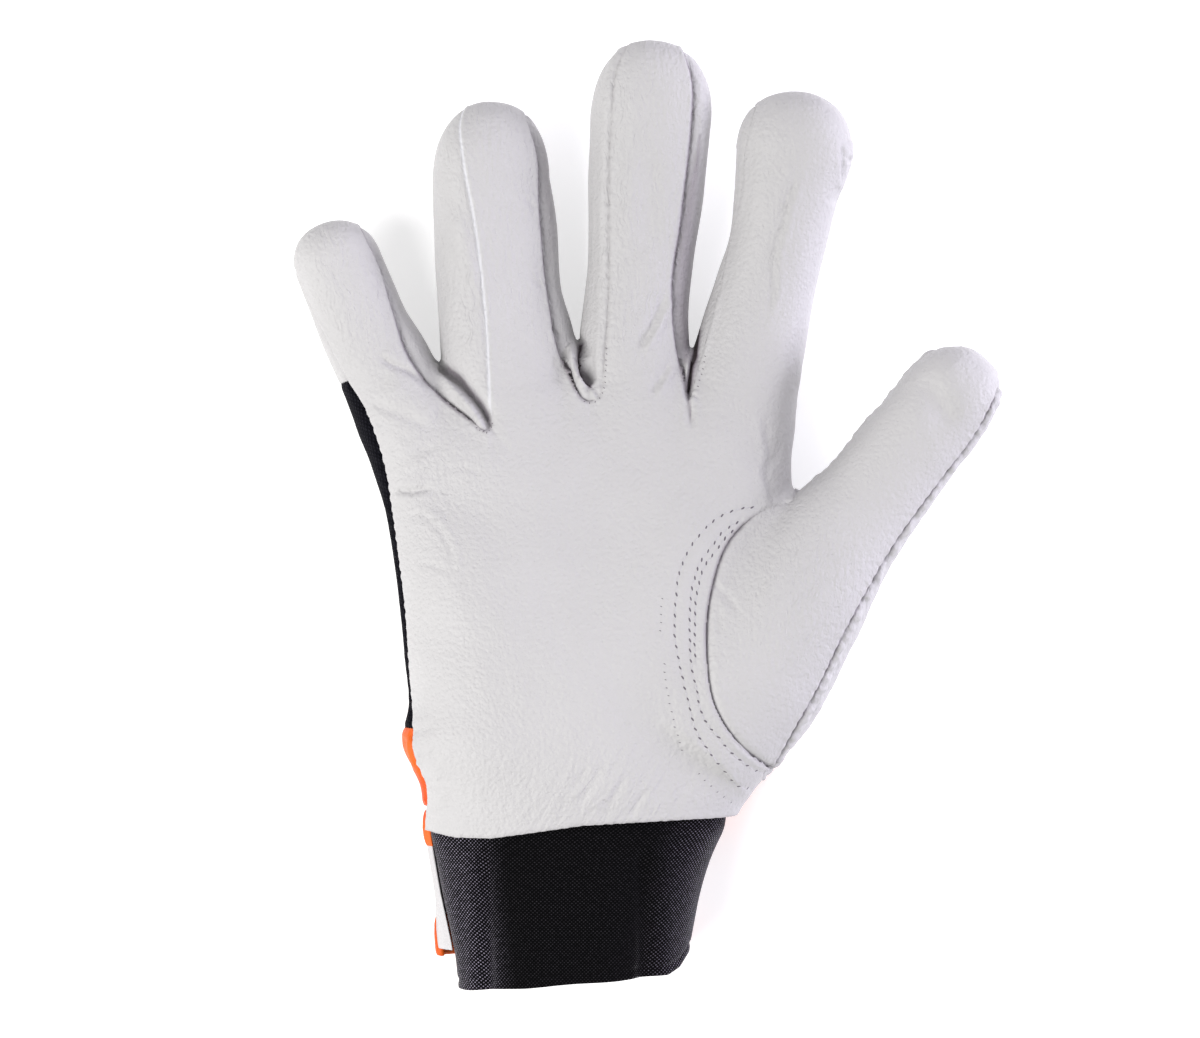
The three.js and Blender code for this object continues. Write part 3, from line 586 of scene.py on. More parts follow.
def waves(points, swell):
    """A smooth random height at points, of about plus or minus the swell's own."""
    height, length, seed = SWELLS[swell]
    random = np.random.default_rng(seed)
    heading = random.normal(size=(SWELL_WAVES, 3))
    heading /= np.linalg.norm(heading, axis=1)[:, None]
    heading *= 2 * np.pi / length * random.uniform(0.7, 1.4, (SWELL_WAVES, 1))
    turn = random.uniform(0, 2 * np.pi, SWELL_WAVES)
    return height * (np.sin(points @ heading.T + turn).sum(1) / math.sqrt(SWELL_WAVES))


# The skin as a field of distances


def rounded(u, w, half, deep, power, beyond=0.0, tip=1.0):
    """Distance from a superellipse section with a rounded end, below 0 inside."""
    a, b = np.abs(u) / half, np.abs(w) / deep
    section = np.maximum((a**power + b**power) ** (1 / power), 1e-3)
    whole = (section**ROUND_TIP + beyond**ROUND_TIP) ** (1 / ROUND_TIP)
    steep = np.hypot((a / section) ** (power - 1) / half, (b / section) ** (power - 1) / deep)
    steep = np.hypot(steep * (section / whole) ** (ROUND_TIP - 1), (beyond / whole) ** (ROUND_TIP - 1) / tip)
    return (whole - 1) / steep


class Finger:
    """A finger, thumb or web: sections on a smooth centreline, with a rounded tip."""

    def __init__(self, tip, lean, rows):
        rows = np.asarray(rows, float)
        along = travelled(rows[:, :2])
        body = resample(rows, along, np.linspace(0, along[-1], FINGER_STEPS))
        climb = (rows[-1, 2] - rows[-2, 2]) / (along[-1] - along[-2])
        reach = np.linspace(0, 1.5 * tip, 12)[1:, None]
        heading = math.radians(lean)
        ahead = np.array([math.sin(heading), math.cos(heading), climb, 0, 0, 0])
        self.rows = np.vstack((body, body[-1] + reach * ahead))
        self.line = self.rows[:, :2]
        self.along = travelled(self.line)
        self.end, self.tip = along[-1], tip
        way = np.gradient(self.line, self.along, axis=0)
        self.heading = np.unwrap(np.arctan2(way[:, 0], way[:, 1]))
        wide = self.rows[:, 3].max() + FAR
        self.low, self.high = self.line.min(0) - wide, self.line.max(0) + wide

    def read(self, x, y):
        """What the finger is like at places in plan, for value()."""
        k, t, _, _ = beside(self.line, x, y)
        rows = between(self.rows, k, t[:, None])
        heading = between(self.heading, k, t)
        dx, dy = x - rows[:, 0], y - rows[:, 1]
        across = dx * np.cos(heading) - dy * np.sin(heading)
        along = between(self.along, k, t)
        before = np.where(k + t < 1e-6, dx * np.sin(heading) + dy * np.cos(heading), along)
        beyond = np.maximum(along - self.end, 0) / self.tip
        return [across, before, beyond, *rows[:, 2:].T]

    def value(self, plan, z):
        """The field at heights over places in plan, below 0 inside the finger."""
        across, before, beyond, middle, half, deep, roll = plan
        c, s = np.cos(np.radians(roll)), np.sin(np.radians(roll))
        up = z - middle
        skin = rounded(across * c - up * s, across * s + up * c, half, deep, SQUARE_FINGER, beyond, self.tip)
        return np.minimum(np.maximum(skin, -before), FAR)


class Hand:
    """The hand between the wrist and the knuckles, in sections across it."""

    def __init__(self):
        rows = np.asarray(HAND, float)
        along = rows[:, 1] - rows[0, 1]
        self.rows = resample(rows, along, np.linspace(0, along[-1], HAND_STEPS))

    def read(self, x, y):
        """What the hand is like at places in plan, for value()."""
        table = self.rows
        middle, half, top, base = (np.interp(y, table[:, 1], table[:, i]) for i in (0, 2, 3, 4))
        sunk = np.zeros_like(x)
        for dx, dy, long, wide, heading, sink in DENTS:
            c, s = math.cos(math.radians(heading)), math.sin(math.radians(heading))
            along, aside = (x - dx) * c + (y - dy) * s, (y - dy) * c - (x - dx) * s
            sunk += sink * bell(along / long, aside / wide)
        return [x - middle, y, half, top, base, sunk]

    def value(self, plan, z):
        """The field at heights over places in plan, below 0 inside the hand."""
        across, y, half, top, base, sunk = plan
        middle, deep = (top + base) / 2, (top - base) / 2
        up = z - middle
        skin = rounded(across, up, half, deep - np.where(up > 0, sunk, 0), SQUARE_PALM)
        return np.clip(np.maximum(skin, y - self.rows[-1, 1]), -FAR, FAR)


def block(part, x, y, z):
    """A part's field on a grid of points; its plan is read once for each upright column."""
    px, py = (side.ravel() for side in np.meshgrid(x, y, indexing="ij"))
    plan = [value[:, None] for value in part.read(px, py)]
    return part.value(plan, z[None, :]).reshape(len(x), len(y), len(z))


class Skin:
    """The whole glove's outer face as one field: hand, fingers, thumb and webs run together."""

    def __init__(self):
        self.hand = Hand()
        self.fingers = [Finger(**shape) for shape in FINGERS.values()]

    def at(self, x, y, z):
        """The field at points: below 0 inside the glove."""
        whole = np.full_like(x, FAR)
        for finger in self.fingers:
            near = in_box(finger.low, finger.high, x, y)
            part = finger.value(finger.read(x[near], y[near]), z[near])
            whole[near] = soft_min(whole[near], part, SOFTEN_FINGERS)
        whole = soft_min(whole, self.hand.value(self.hand.read(x, y), z), SOFTEN_HAND)
        return -soft_min(-whole, z, SOFTEN_FLOOR)

    def grid(self, low, high, step):
        """The field on a grid of points between two corners."""
        x, y, z = (np.arange(a, b, step) for a, b in zip(low, high))
        whole = np.full((len(x), len(y), len(z)), FAR)
        for finger in self.fingers:
            i = slice(*np.searchsorted(x, (finger.low[0], finger.high[0])))
            j = slice(*np.searchsorted(y, (finger.low[1], finger.high[1])))
            whole[i, j] = soft_min(whole[i, j], block(finger, x[i], y[j], z), SOFTEN_FINGERS)
        whole = soft_min(whole, block(self.hand, x, y, z), SOFTEN_HAND)
        return -soft_min(-whole, z[None, None, :] + 0 * whole, SOFTEN_FLOOR)

    def slope(self, points):
        """How the field grows along each axis."""
        h = 0.2
        rises = [self.at(*(points + move).T) - self.at(*(points - move).T) for move in h * np.eye(3)]
        return np.column_stack(rises) / (2 * h)

    def settle(self, points, passes):
        """Points moved onto the skin."""
        for _ in range(passes):
            value, slope = self.at(*points.T), self.slope(points)
            square = np.maximum((slope**2).sum(1), 0.05)
            points = points - slope * np.clip(value / square, -0.8, 0.8)[:, None]
        return points


# Meshes


def net(values, corner, step):
    """Triangles over the zero level of a grid of values, turned outwards, one point to a cell."""
    inside = values < 0
    size = np.array(values.shape) - 1
    filled = np.zeros(size, np.int8)
    for i, j, k in product((0, 1), repeat=3):
        filled += inside[i : i + size[0], j : j + size[1], k : k + size[2]]
    mixed = (filled > 0) & (filled < 8)
    cells = np.argwhere(mixed)
    number = np.full(size, -1)
    number[mixed] = np.arange(len(cells))
    total, count = np.zeros((len(cells), 3)), np.zeros(len(cells))
    for axis in range(3):
        for other in product((0, 1), repeat=2):
            start = np.insert(other, axis, 0)
            end = np.insert(other, axis, 1)
            a, b = values[tuple((cells + start).T)], values[tuple((cells + end).T)]
            cross = np.flatnonzero((a < 0) != (b < 0))
            share = (a[cross] / (a[cross] - b[cross]))[:, None]
            total[cross] += start + share * (end - start)
            count[cross] += 1
    points = (cells + total / count[:, None]) * step + np.asarray(corner)
    quads = []
    for axis in range(3):
        u, v = np.eye(3, dtype=int)[[(axis + 1) % 3, (axis + 2) % 3]]
        lower = np.take(inside, range(0, size[axis]), axis)
        upper = np.take(inside, range(1, size[axis] + 1), axis)
        edges = np.argwhere(lower != upper)
        edges = edges[((edges >= u + v) & (edges < size)).all(1)]
        quad = np.column_stack([number[tuple((edges - move).T)] for move in (u + v, v, 0 * u, u)])
        turned = upper[tuple(edges.T)]
        quads.append(np.where(turned[:, None], quad[:, ::-1], quad))
    quads = np.vstack(quads)
    a, b, c, d = points[quads].transpose(1, 0, 2)
    short = (np.linalg.norm(a - c, axis=1) < np.linalg.norm(b - d, axis=1))[:, None]
    first = np.where(short, quads[:, [0, 1, 2]], quads[:, [0, 1, 3]])
    second = np.where(short, quads[:, [0, 2, 3]], quads[:, [1, 2, 3]])
    return points, np.vstack((first, second))


def turn_to(faces, corner):
    """Each triangle's corners in the same order, from the given corner on."""
    return np.take_along_axis(faces, (corner[:, None] + np.arange(3)) % 3, 1)


def edge_numbers(ends):
    """The different edges among some pairs of ends, and the number of the edge of each pair."""
    edges, number = np.unique(np.sort(ends.reshape(-1, 2), axis=1), axis=0, return_inverse=True)
    return edges, number.reshape(ends.shape[:2])


# How a triangle is split, by the number of its edges that are: 0 to 2 are its corners, and 3 to 5 the points
# on the edges after them. One split edge is turned to the first place, and two to the first two.
SPLITS = {
    0: [(0, 1, 2)],
    1: [(0, 3, 2), (3, 1, 2)],
    2: [(3, 1, 4), (0, 3, 4), (0, 4, 2)],
    3: [(0, 3, 5), (3, 1, 4), (5, 4, 2), (3, 4, 5)],
}


def refine(points, faces, wanted):
    """Splits each edge between two wanted points, and the triangles on it to match."""
    edges, number = edge_numbers(np.stack((faces, np.roll(faces, -1, 1)), 2))
    split = wanted[edges].all(1)
    middles = np.where(split, np.cumsum(split) - 1 + len(points), -1)[number]
    count = (middles >= 0).sum(1)
    made = []
    for sides, pieces in SPLITS.items():
        corners, on_edges = faces[count == sides], middles[count == sides]
        cut_here = on_edges >= 0
        first = (cut_here.argmin(1) + 1) % 3 if sides == 2 else cut_here.argmax(1)
        both = np.hstack((turn_to(corners, first), turn_to(on_edges, first)))
        made += [both[:, list(piece)] for piece in pieces]
    return np.vstack((points, points[edges[split]].mean(1))), np.vstack(made)


def trim(table, faces):
    """A mesh without the points that no face uses."""
    used, faces = np.unique(faces, return_inverse=True)
    return table[used], faces.reshape(-1, 3)


def cut(table, faces, keep):
    """The part of a mesh where keep is above 0. The table has a row of values for each point."""
    keep = np.where(np.abs(keep) < CLEAN_CUT, CLEAN_CUT, keep)
    inside = keep > 0
    count = inside[faces].sum(1)
    mixed = faces[(count == 1) | (count == 2)]
    lone = np.where(inside[mixed].sum(1) == 1, inside[mixed].argmax(1), inside[mixed].argmin(1))
    mixed = turn_to(mixed, lone)
    edges, number = edge_numbers(np.stack((mixed[:, [0, 0]], mixed[:, [1, 2]]), 2))
    a, b = keep[edges].T
    share = (a / (a - b))[:, None]
    both = np.hstack((mixed, number + len(table)))
    table = np.vstack((table, table[edges[:, 0]] * (1 - share) + table[edges[:, 1]] * share))
    one = inside[mixed[:, 0]]
    pieces = (both[one][:, [0, 3, 4]], both[~one][:, [3, 1, 2]], both[~one][:, [3, 2, 4]])
    return trim(table, np.vstack((faces[count == 3], *pieces)))


def largest(table, faces):
    """The largest joined part of a mesh, without crumbs."""
    label = np.arange(len(table))
    edges = np.vstack((faces[:, :2], faces[:, 1:]))
    while True:
        low = np.minimum(label[edges[:, 0]], label[edges[:, 1]])
        new = label.copy()
        np.minimum.at(new, edges[:, 0], low)
        np.minimum.at(new, edges[:, 1], low)
        new = new[new]
        if (new == label).all():
            break
        label = new
    owner = label[faces[:, 0]]
    names, counts = np.unique(owner, return_counts=True)
    return trim(table, faces[owner == names[counts.argmax()]])


def new_object(name, data):
    """A new object in the scene."""
    made = bpy.data.objects.new(name, data)
    bpy.context.scene.collection.objects.link(made)
    return made


def set_marks(mesh, kind, field, marks):
    """Stores named values at a mesh's points."""
    for key, values in marks.items():
        layer = mesh.attributes.new(key, kind, "POINT")
        layer.data.foreach_set(field, np.asarray(values, np.float32).ravel())


def mesh_object(name, points, faces, marks=None):
    """A smooth-shaded mesh object from points in millimetres, with named values at its points."""
    mesh = bpy.data.meshes.new(name)
    mesh.from_pydata((np.asarray(points) * MM).tolist(), [], [list(face) for face in faces])
    mesh.update()
    mesh.shade_smooth()
    set_marks(mesh, "FLOAT", "value", marks or {})
    return new_object(name, mesh)


def settle_modifiers(made):
    """The object's mesh with its modifiers worked in."""
    graph = bpy.context.evaluated_depsgraph_get()
    shaped = made.evaluated_get(graph)
    mesh = bpy.data.meshes.new_from_object(shaped, preserve_all_data_layers=True, depsgraph=graph)
    made.modifiers.clear()
    made.data = mesh
    mesh.name = made.name
    return made


def wall(made, thickness, inner=True):
    """Gives a sheet its thickness inwards; its hidden side takes the second material."""
    solid = made.modifiers.new("Wall", "SOLIDIFY")
    solid.thickness = thickness
    solid.offset = -1
    solid.use_rim = True
    solid.material_offset = int(inner)
    return settle_modifiers(made)


def turn_outward(made):
    """Turns every face of a closed mesh outwards."""
    shape = bmesh.new()
    shape.from_mesh(made.data)
    bmesh.ops.recalc_face_normals(shape, faces=shape.faces)
    shape.to_mesh(made.data)
    shape.free()
    made.data.shade_smooth()


def dress(made, slot, node, *materials):
    """Gives a finished piece its materials, and puts it on the frame in its node's place."""
    made.data.materials.clear()
    for material in materials:
        made.data.materials.append(material)
    if node:
        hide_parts(node)
    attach(made, "root")
    return made


# The sewn panels


def plan_regions():
    """Outlines of the regions seen from above, closed far outside the glove."""
    line = {name: smooth_line(points, SEAM_STEP) for name, points in SEAMS.items()}
    outer = smooth_line(SEAMS["pinky_outer"] + SEAMS["palm_outer"], SEAM_STEP)
    made = {
        "outer_side": np.vstack((outer, [(-110, -94), (-110, 75)])),
        "thumb_front": np.vstack((line["thumb_base"][:-1], line["thumb_outer"], [(94, 60), (60, 60)])),
        "left_of_thumb": np.vstack((line["thumb_outer"], [(94, 60), (0, 60), (0, -66.8)])),
        "thumb_back": np.array(THUMB_BACK, float),
    }
    for name, (inner, far, beyond) in GUSSETS.items():
        made[name] = np.vstack((line[inner], CROTCHES[name], line[far], beyond))
    return made


def scallops(x, y, line, pitch, depth):
    """A shallow scallop from stitch to stitch along a line, 0 away from it."""
    k, t, off, _ = beside(line, x, y)
    place = between(travelled(line), k, t)
    return depth * np.abs(np.sin(np.pi * place / pitch)) * bell(off / 2.5)


def all_of(*fields):
    """The field of the places that lie in every one of some fields."""
    return np.min(fields, axis=0)


def panel_fields(points):
    """For each panel, how far inside its own seams each point lies, below 0 outside it."""
    x, y, z = points.T
    inside = {name: region(outline, x, y) for name, outline in plan_regions().items()}
    depth = 0.1 + 0.2 * smoothstep(y, -50, -5)
    outer = smooth_line(SEAMS["palm_outer"], 1.0)
    outer_side = inside["outer_side"] - scallops(x, y, outer, SCALLOP_PITCH["outer"], depth)
    front = z - level(SIDE_SEAM, y)
    heading = math.radians(THUMB_HEADING)
    thumb_top = z - level(THUMB_SEAM, x * math.sin(heading) + y * math.cos(heading))
    on_palm = z > 20
    hem = over(HEM, x, y) + scallops(x, y, np.array(HEM, float), SCALLOP_PITCH["hem"], 0.1) * on_palm
    no_gusset = -np.max([inside[name] for name in GUSSETS], axis=0)
    knuckles = over(KNUCKLE_LINE, x, y)
    thumb_front, thumb_back, left_of_thumb = map(inside.get, ("thumb_front", "thumb_back", "left_of_thumb"))
    made = {
        "palm_leather": all_of(
            no_gusset,
            front,
            -outer_side,
            -thumb_front,
            -all_of(thumb_back, -left_of_thumb),
            -all_of(thumb_back, -thumb_top),
            hem,
        ),
        "thumb_front": all_of(thumb_front, thumb_top, hem),
        "thumb_back": all_of(
            np.maximum(thumb_back, all_of(thumb_front, front)), -all_of(thumb_top, left_of_thumb), hem
        ),
    }
    for name in GUSSETS:
        made[f"gusset_{name}"] = inside[name]
    backs = all_of(no_gusset, -all_of(front, -outer_side), -thumb_back, hem)
    below_yoke = -over(YOKE_HEM, x, y)
    made["hand_back"] = all_of(backs, -knuckles, y - YOKE_LINE)
    made["wrist_yoke"] = all_of(backs, YOKE_LINE - y, -below_yoke)
    for name, (left, right) in FINGER_SPANS.items():
        made[f"finger_back_{name}"] = all_of(backs, knuckles, x - left, right - x)
    made["off"] = np.maximum(-hem, all_of(backs, below_yoke))
    return made


def seam_points(points, faces, fields):
    """Points all along the seams, the two panels at each, and each mesh point's own panel, by number."""
    table = np.stack(list(fields.values()))
    owner = table.argmax(0)
    crossing = faces[(owner[faces] != owner[np.roll(faces, -1, 1)]).any(1)]
    ends = []
    for i in range(3):
        a, b = crossing[:, i], crossing[:, (i + 1) % 3]
        first, second = owner[a], owner[b]
        near = table[first, a] - table[second, a]
        far = table[first, b] - table[second, b]
        share = np.where(first != second, near / np.where(first != second, near - far, 1), np.nan)[:, None]
        ends.append(points[a] * (1 - share) + points[b] * share)
    ends = np.stack(ends, 1)
    pair = np.column_stack((owner[crossing].min(1), owner[crossing].max(1)))
    known = ~np.isnan(ends[:, :, 0])
    start = np.where(known[:, 0, None], ends[:, 0], ends[:, 1])
    end = np.where(known[:, 2, None], ends[:, 2], ends[:, 1])
    shares = np.linspace(0, 1, SEAM_SHARES)[:, None, None]
    found = (start * (1 - shares) + end * shares).reshape(-1, 3)
    return found, np.tile(pair, (SEAM_SHARES, 1)), owner


def seam_names(found, pair, names):
    """The name of the look that each seam point has."""
    look = np.full(len(found), "plain", dtype=object)
    x, y = found[:, 0], found[:, 1]

    def joins(first, second):
        wanted = [names.index(first), names.index(second)]
        return np.isin(pair, wanted).all(1) & (pair[:, 0] != pair[:, 1])

    for gusset, (inner, far, _) in GUSSETS.items():
        on = np.flatnonzero(joins("palm_leather", f"gusset_{gusset}"))
        gaps = [beside(smooth_line(SEAMS[name], SEAM_STEP), x[on], y[on])[2] for name in (inner, far)]
        look[on] = np.where(gaps[0] < gaps[1], inner, far)
    look[joins("palm_leather", "thumb_front")] = "thumb_base"
    look[joins("thumb_front", "thumb_back")] = "thumb_outer"
    look[joins("palm_leather", "hand_back") & (x < 0)] = "palm_outer"
    look[joins("palm_leather", "wrist_yoke") & (x < 0)] = "palm_outer"
    look[joins("palm_leather", "finger_back_pinky")] = "pinky_outer"
    return look


def fold_profile(kind, across, side):
    """How high a fold of one kind stands at distances across it, counted in half widths."""
    if kind == "crease":
        return 0.35 * bell(across - 1.9) - np.exp(-(across**2) * 1.6)
    if kind == "fold":
        return 2.0 * side * across * bell(across)
    if kind == "cut":
        return -np.exp(-(across**2) * 1.6)
    if kind == "tuck":
        roll = 0.36 * bell((across - 1.7) / 0.85) - np.exp(-(across**2) * 2.2)
        return np.where(side > 0, roll, -np.exp(-((across / 1.7) ** 1.6)))
    return bell(across)


def fold_height(x, y):
    """How far the folds and creases lift or sink the leather at points seen from above."""
    height = np.zeros_like(x)
    for kind, size, wide, way in FOLDS.values():
        line = smooth_line(way, 1.0)
        near = in_box(line.min(0) - 4 * wide, line.max(0) + 4 * wide, x, y)
        if not len(near):
            continue
        k, t, off, side = beside(line, x[near], y[near])
        place = (k + t) / (len(line) - 1)
        if kind == "tuck":
            fade = smoothstep(place, -0.08, 0.2) * smoothstep(1 - place, -0.2, 0.25)
        else:
            fade = smoothstep(place, -0.02, 0.22) * smoothstep(1 - place, -0.02, 0.22)
        height[near] += size * fade * fold_profile(kind, off / wide, side)
    return height


def deep_shade(x, y):
    """How dark the painted shade in the deepest tucks and on shadowed flanks is at points seen from above."""
    dark = np.zeros_like(x)
    for strength, way in SHADES.values():
        line = smooth_line(way, 0.5)
        k, t, off, _ = beside(line[:, :2], x, y)
        dark = np.maximum(dark, strength * bell(off / between(line[:, 2], k, t)))
    return dark


def stitch_dimples(x, y):
    """The shallow channel that each row of stitches pulls into the palm."""
    height = np.zeros_like(x)
    for _, faint, way in STITCH_ROWS.values():
        _, _, off, _ = beside(smooth_line(way, 2.0), x, y)
        height -= (FAINT_CHANNEL_DEPTH if faint else CHANNEL_DEPTH) * bell(off / CHANNEL_WIDTH)
    return height


def close_work(points, inner):
    """The points that need a finer surface: at seams, at stitches, and in the deeper folds."""
    x, y, z = points.T
    close = inner < FINE_SEAM
    upper = np.flatnonzero(z > 18)
    ways = [(way, FINE_STITCH) for _, faint, way in STITCH_ROWS.values() if not faint]
    for _, size, wide, way in FOLDS.values():
        if size >= DEEP_FOLD and wide < NARROW_FOLD:
            ways.append((way, FINE_FOLD * wide))
    for way, reach in ways:
        close[upper[beside(smooth_line(way, 2.0), x[upper], y[upper])[2] < reach]] = True
    return close


# The shade mark holds painted shade, and a painted highlight where it is below 0
MARKS = ("long", "slant", "worn", "shade")


def grain_marks(points):
    """Where the leather's kinds of grain lie: long, slant and worn, from 0 to 1 at each point."""
    x, y, _ = points.T
    long = smoothstep(y, 28, 56) * (1 - 0.55 * smoothstep(x, 14, 24))
    long = np.maximum(long, bell((x - 44) / 20, (y + 22) / 24))
    slant = bell((x + 6) / 28, (y + 74) / 16)
    worn = bell((x + 56) / 13, (y - 8) / 24)
    return long, slant, worn


def nearest_seams(points, faces, fields):
    """For each point: the distance to the nearest seam, the place there, its look, and the point's panel."""
    names = list(fields)
    found, pair, owner = seam_points(points, faces, fields)
    look = seam_names(found, pair, names)
    tree = KDTree(len(found))
    for i, place in enumerate(found):
        tree.insert(place, i)
    tree.balance()
    inner = np.max(list(fields.values()), axis=0)
    seam, nearest = np.full(len(points), FAR), np.zeros(len(points), int)
    for i in np.flatnonzero(inner < SEAM_SEARCH):
        _, nearest[i], distance = tree.find(points[i])
        seam[i] = min(distance, FAR)
    return seam, found[nearest], look[nearest], np.array(names)[owner]


def seam_values(points, look):
    """The columns of SEAM_LOOKS at each point, calmer at the crotches and towards the fingertips."""
    row = {name: i for i, name in enumerate(SEAM_LOOKS)}
    style = np.array([row[name] for name in look])
    value = dict(zip(SEAM_COLUMNS, np.array(list(SEAM_LOOKS.values()), float)[style].T))
    root = np.zeros(len(points))
    for line in CROTCHES.values():
        root += np.exp(-(((points[:, :2] - np.mean(line, axis=0)) ** 2).sum(1) / 36))
    for key in ("roll", "drop", "under", "shade"):
        value[key] = value[key] * (1 - 0.6 * np.minimum(root, 1))
    top = np.array([SEAM_TOPS.get(name, math.inf) for name in SEAM_LOOKS])[style]
    value["towards_tip"] = 0.2 + 0.8 * smoothstep(top - points[:, 1], 0, 11)
    return value


def seam_lie(points, seam, place, look):
    """How the skin lies at its seams: the upper side's lip, the lower side's drop, and the rest for both."""
    value = seam_values(points, look)
    at_thumb = look == "thumb_base"
    lower_end = at_thumb * smoothstep(-place[:, 1], 26, 44)
    upper_end = at_thumb * smoothstep(place[:, 0], 24, 31) * (place[:, 1] > -12)
    lip = value["lip"] * bell((seam - 1.0) / 0.7) - value["roll"] * np.clip(1 - seam / 0.8, 0, 1) ** 2
    drop = value["puff"] * bell((seam - 2.3) / 1.3)
    drop -= value["drop"] * value["towards_tip"] * np.clip(1 - seam / value["reach"], 0, 1) ** 2
    drop *= 1 - 0.8 * upper_end
    phase = (place @ np.array(PUCKER_WAY)) * 2 * np.pi / PUCKER_PITCH
    pucker = value["pucker"] * np.cos(phase) * np.exp(-seam / 1.6) * (seam < FAR - 0.1)
    gap = value["gap"] * (1 - 0.9 * np.maximum(lower_end, upper_end))
    # Painted shade along the seam line, and a painted highlight where the look's shade is below 0
    shade = value["shade"] * (1 - 0.7 * lower_end) * (1 - upper_end) * smoothstep(seam, 0.8, 0.1)
    return lip, drop, pucker, gap, value["under"], shade


def cloth_height(points, facing, pucker, seam, look, panel):
    """How far folds, stitches, puckers, swells, ribs and crumples lift or sink each point."""
    x, y, z = points.T
    height = (fold_height(x, y) + stitch_dimples(x, y)) * facing + pucker
    calm = smoothstep(z, 0.2, 4.0) * smoothstep(y, -86, -70)
    height += (waves(points, "skin") + waves(points * (1, 0.6, 1), "skin_fine")) * calm
    ribbed = (panel == "hand_back") * bell(seam / 3.2) * (look == "palm_outer")
    ribbed *= smoothstep(seam, 0.1, 1.0)
    height += (RIB_HEIGHT * np.cos(points @ np.array(RIB_WAY)) + waves(points, "ribs")) * ribbed
    crumpled = (panel == "thumb_back") * np.exp(-seam / 5) * (z > 8)
    height += (waves(points, "thumb_back") + waves(points, "thumb_back_fine")) * crumpled
    return height


_shell = {}  # what sewn_shell has worked out, by step


def sewn_shell(step):
    """The whole dented and folded skin, worked out once: values at its points, faces, and panel fields."""
    if step in _shell:
        return _shell[step]
    skin = Skin()
    low, high = SKIN_BOX
    points, faces = net(skin.grid(low, high, step), low, step)
    points = skin.settle(points, 1)
    inner = np.max(list(panel_fields(points).values()), axis=0)
    points, faces = refine(points, faces, close_work(points, inner))
    points = skin.settle(points, 2)
    slope = skin.slope(points)
    normal = slope / np.linalg.norm(slope, axis=1)[:, None]

    fields = panel_fields(points)
    seam, place, look, panel = nearest_seams(points, faces, fields)
    lip, drop, pucker, gap, under, shade = seam_lie(points, seam, place, look)
    facing = smoothstep(normal[:, 2], -0.15, 0.35)
    height = cloth_height(points, facing, pucker, seam, look, panel)
    # Painted shade in the tucks and on shadowed flanks, laid over the seams' own painted shade
    deep = deep_shade(*points[:, :2].T) * smoothstep(normal[:, 2], -0.5, -0.1)
    shade = np.where(deep > 0.05, np.maximum(shade, deep), shade)
    shell = {
        "points": points + normal * height[:, None],
        "normal": normal,
        "upper": np.column_stack((lip, gap / 2)),
        "lower": np.column_stack((drop, gap / 2 - under)),
        "at_thumb": look == "thumb_base",
        "marks": np.column_stack((*grain_marks(points), shade)),
    }
    _shell[step] = shell, faces, fields
    return _shell[step]


def cut_panel(name, step):
    """One panel of the skin as an open sheet. The palm lies upper at every seam, the thumb's front at one."""
    shell, faces, fields = sewn_shell(step)
    lower = np.full(len(shell["points"]), name != "palm_leather")
    if name == "thumb_front":
        lower = shell["at_thumb"]
    rise, border = np.where(lower[:, None], shell["lower"], shell["upper"]).T
    table = np.column_stack((shell["points"] + shell["normal"] * rise[:, None], shell["marks"]))
    table, faces = largest(*cut(table, faces, fields[name] - border))
    return mesh_object(name + "_panel", table[:, :3], faces, dict(zip(MARKS, table[:, 3:].T)))


# Materials


class Wire:
    """A value that runs between nodes; a sum or product of it is a new node."""

    def __init__(self, shader, socket):
        self.shader, self.socket = shader, socket

    def __add__(self, other):
        return self.shader.math("ADD", self, other)

    def __mul__(self, other):
        return self.shader.math("MULTIPLY", self, other)


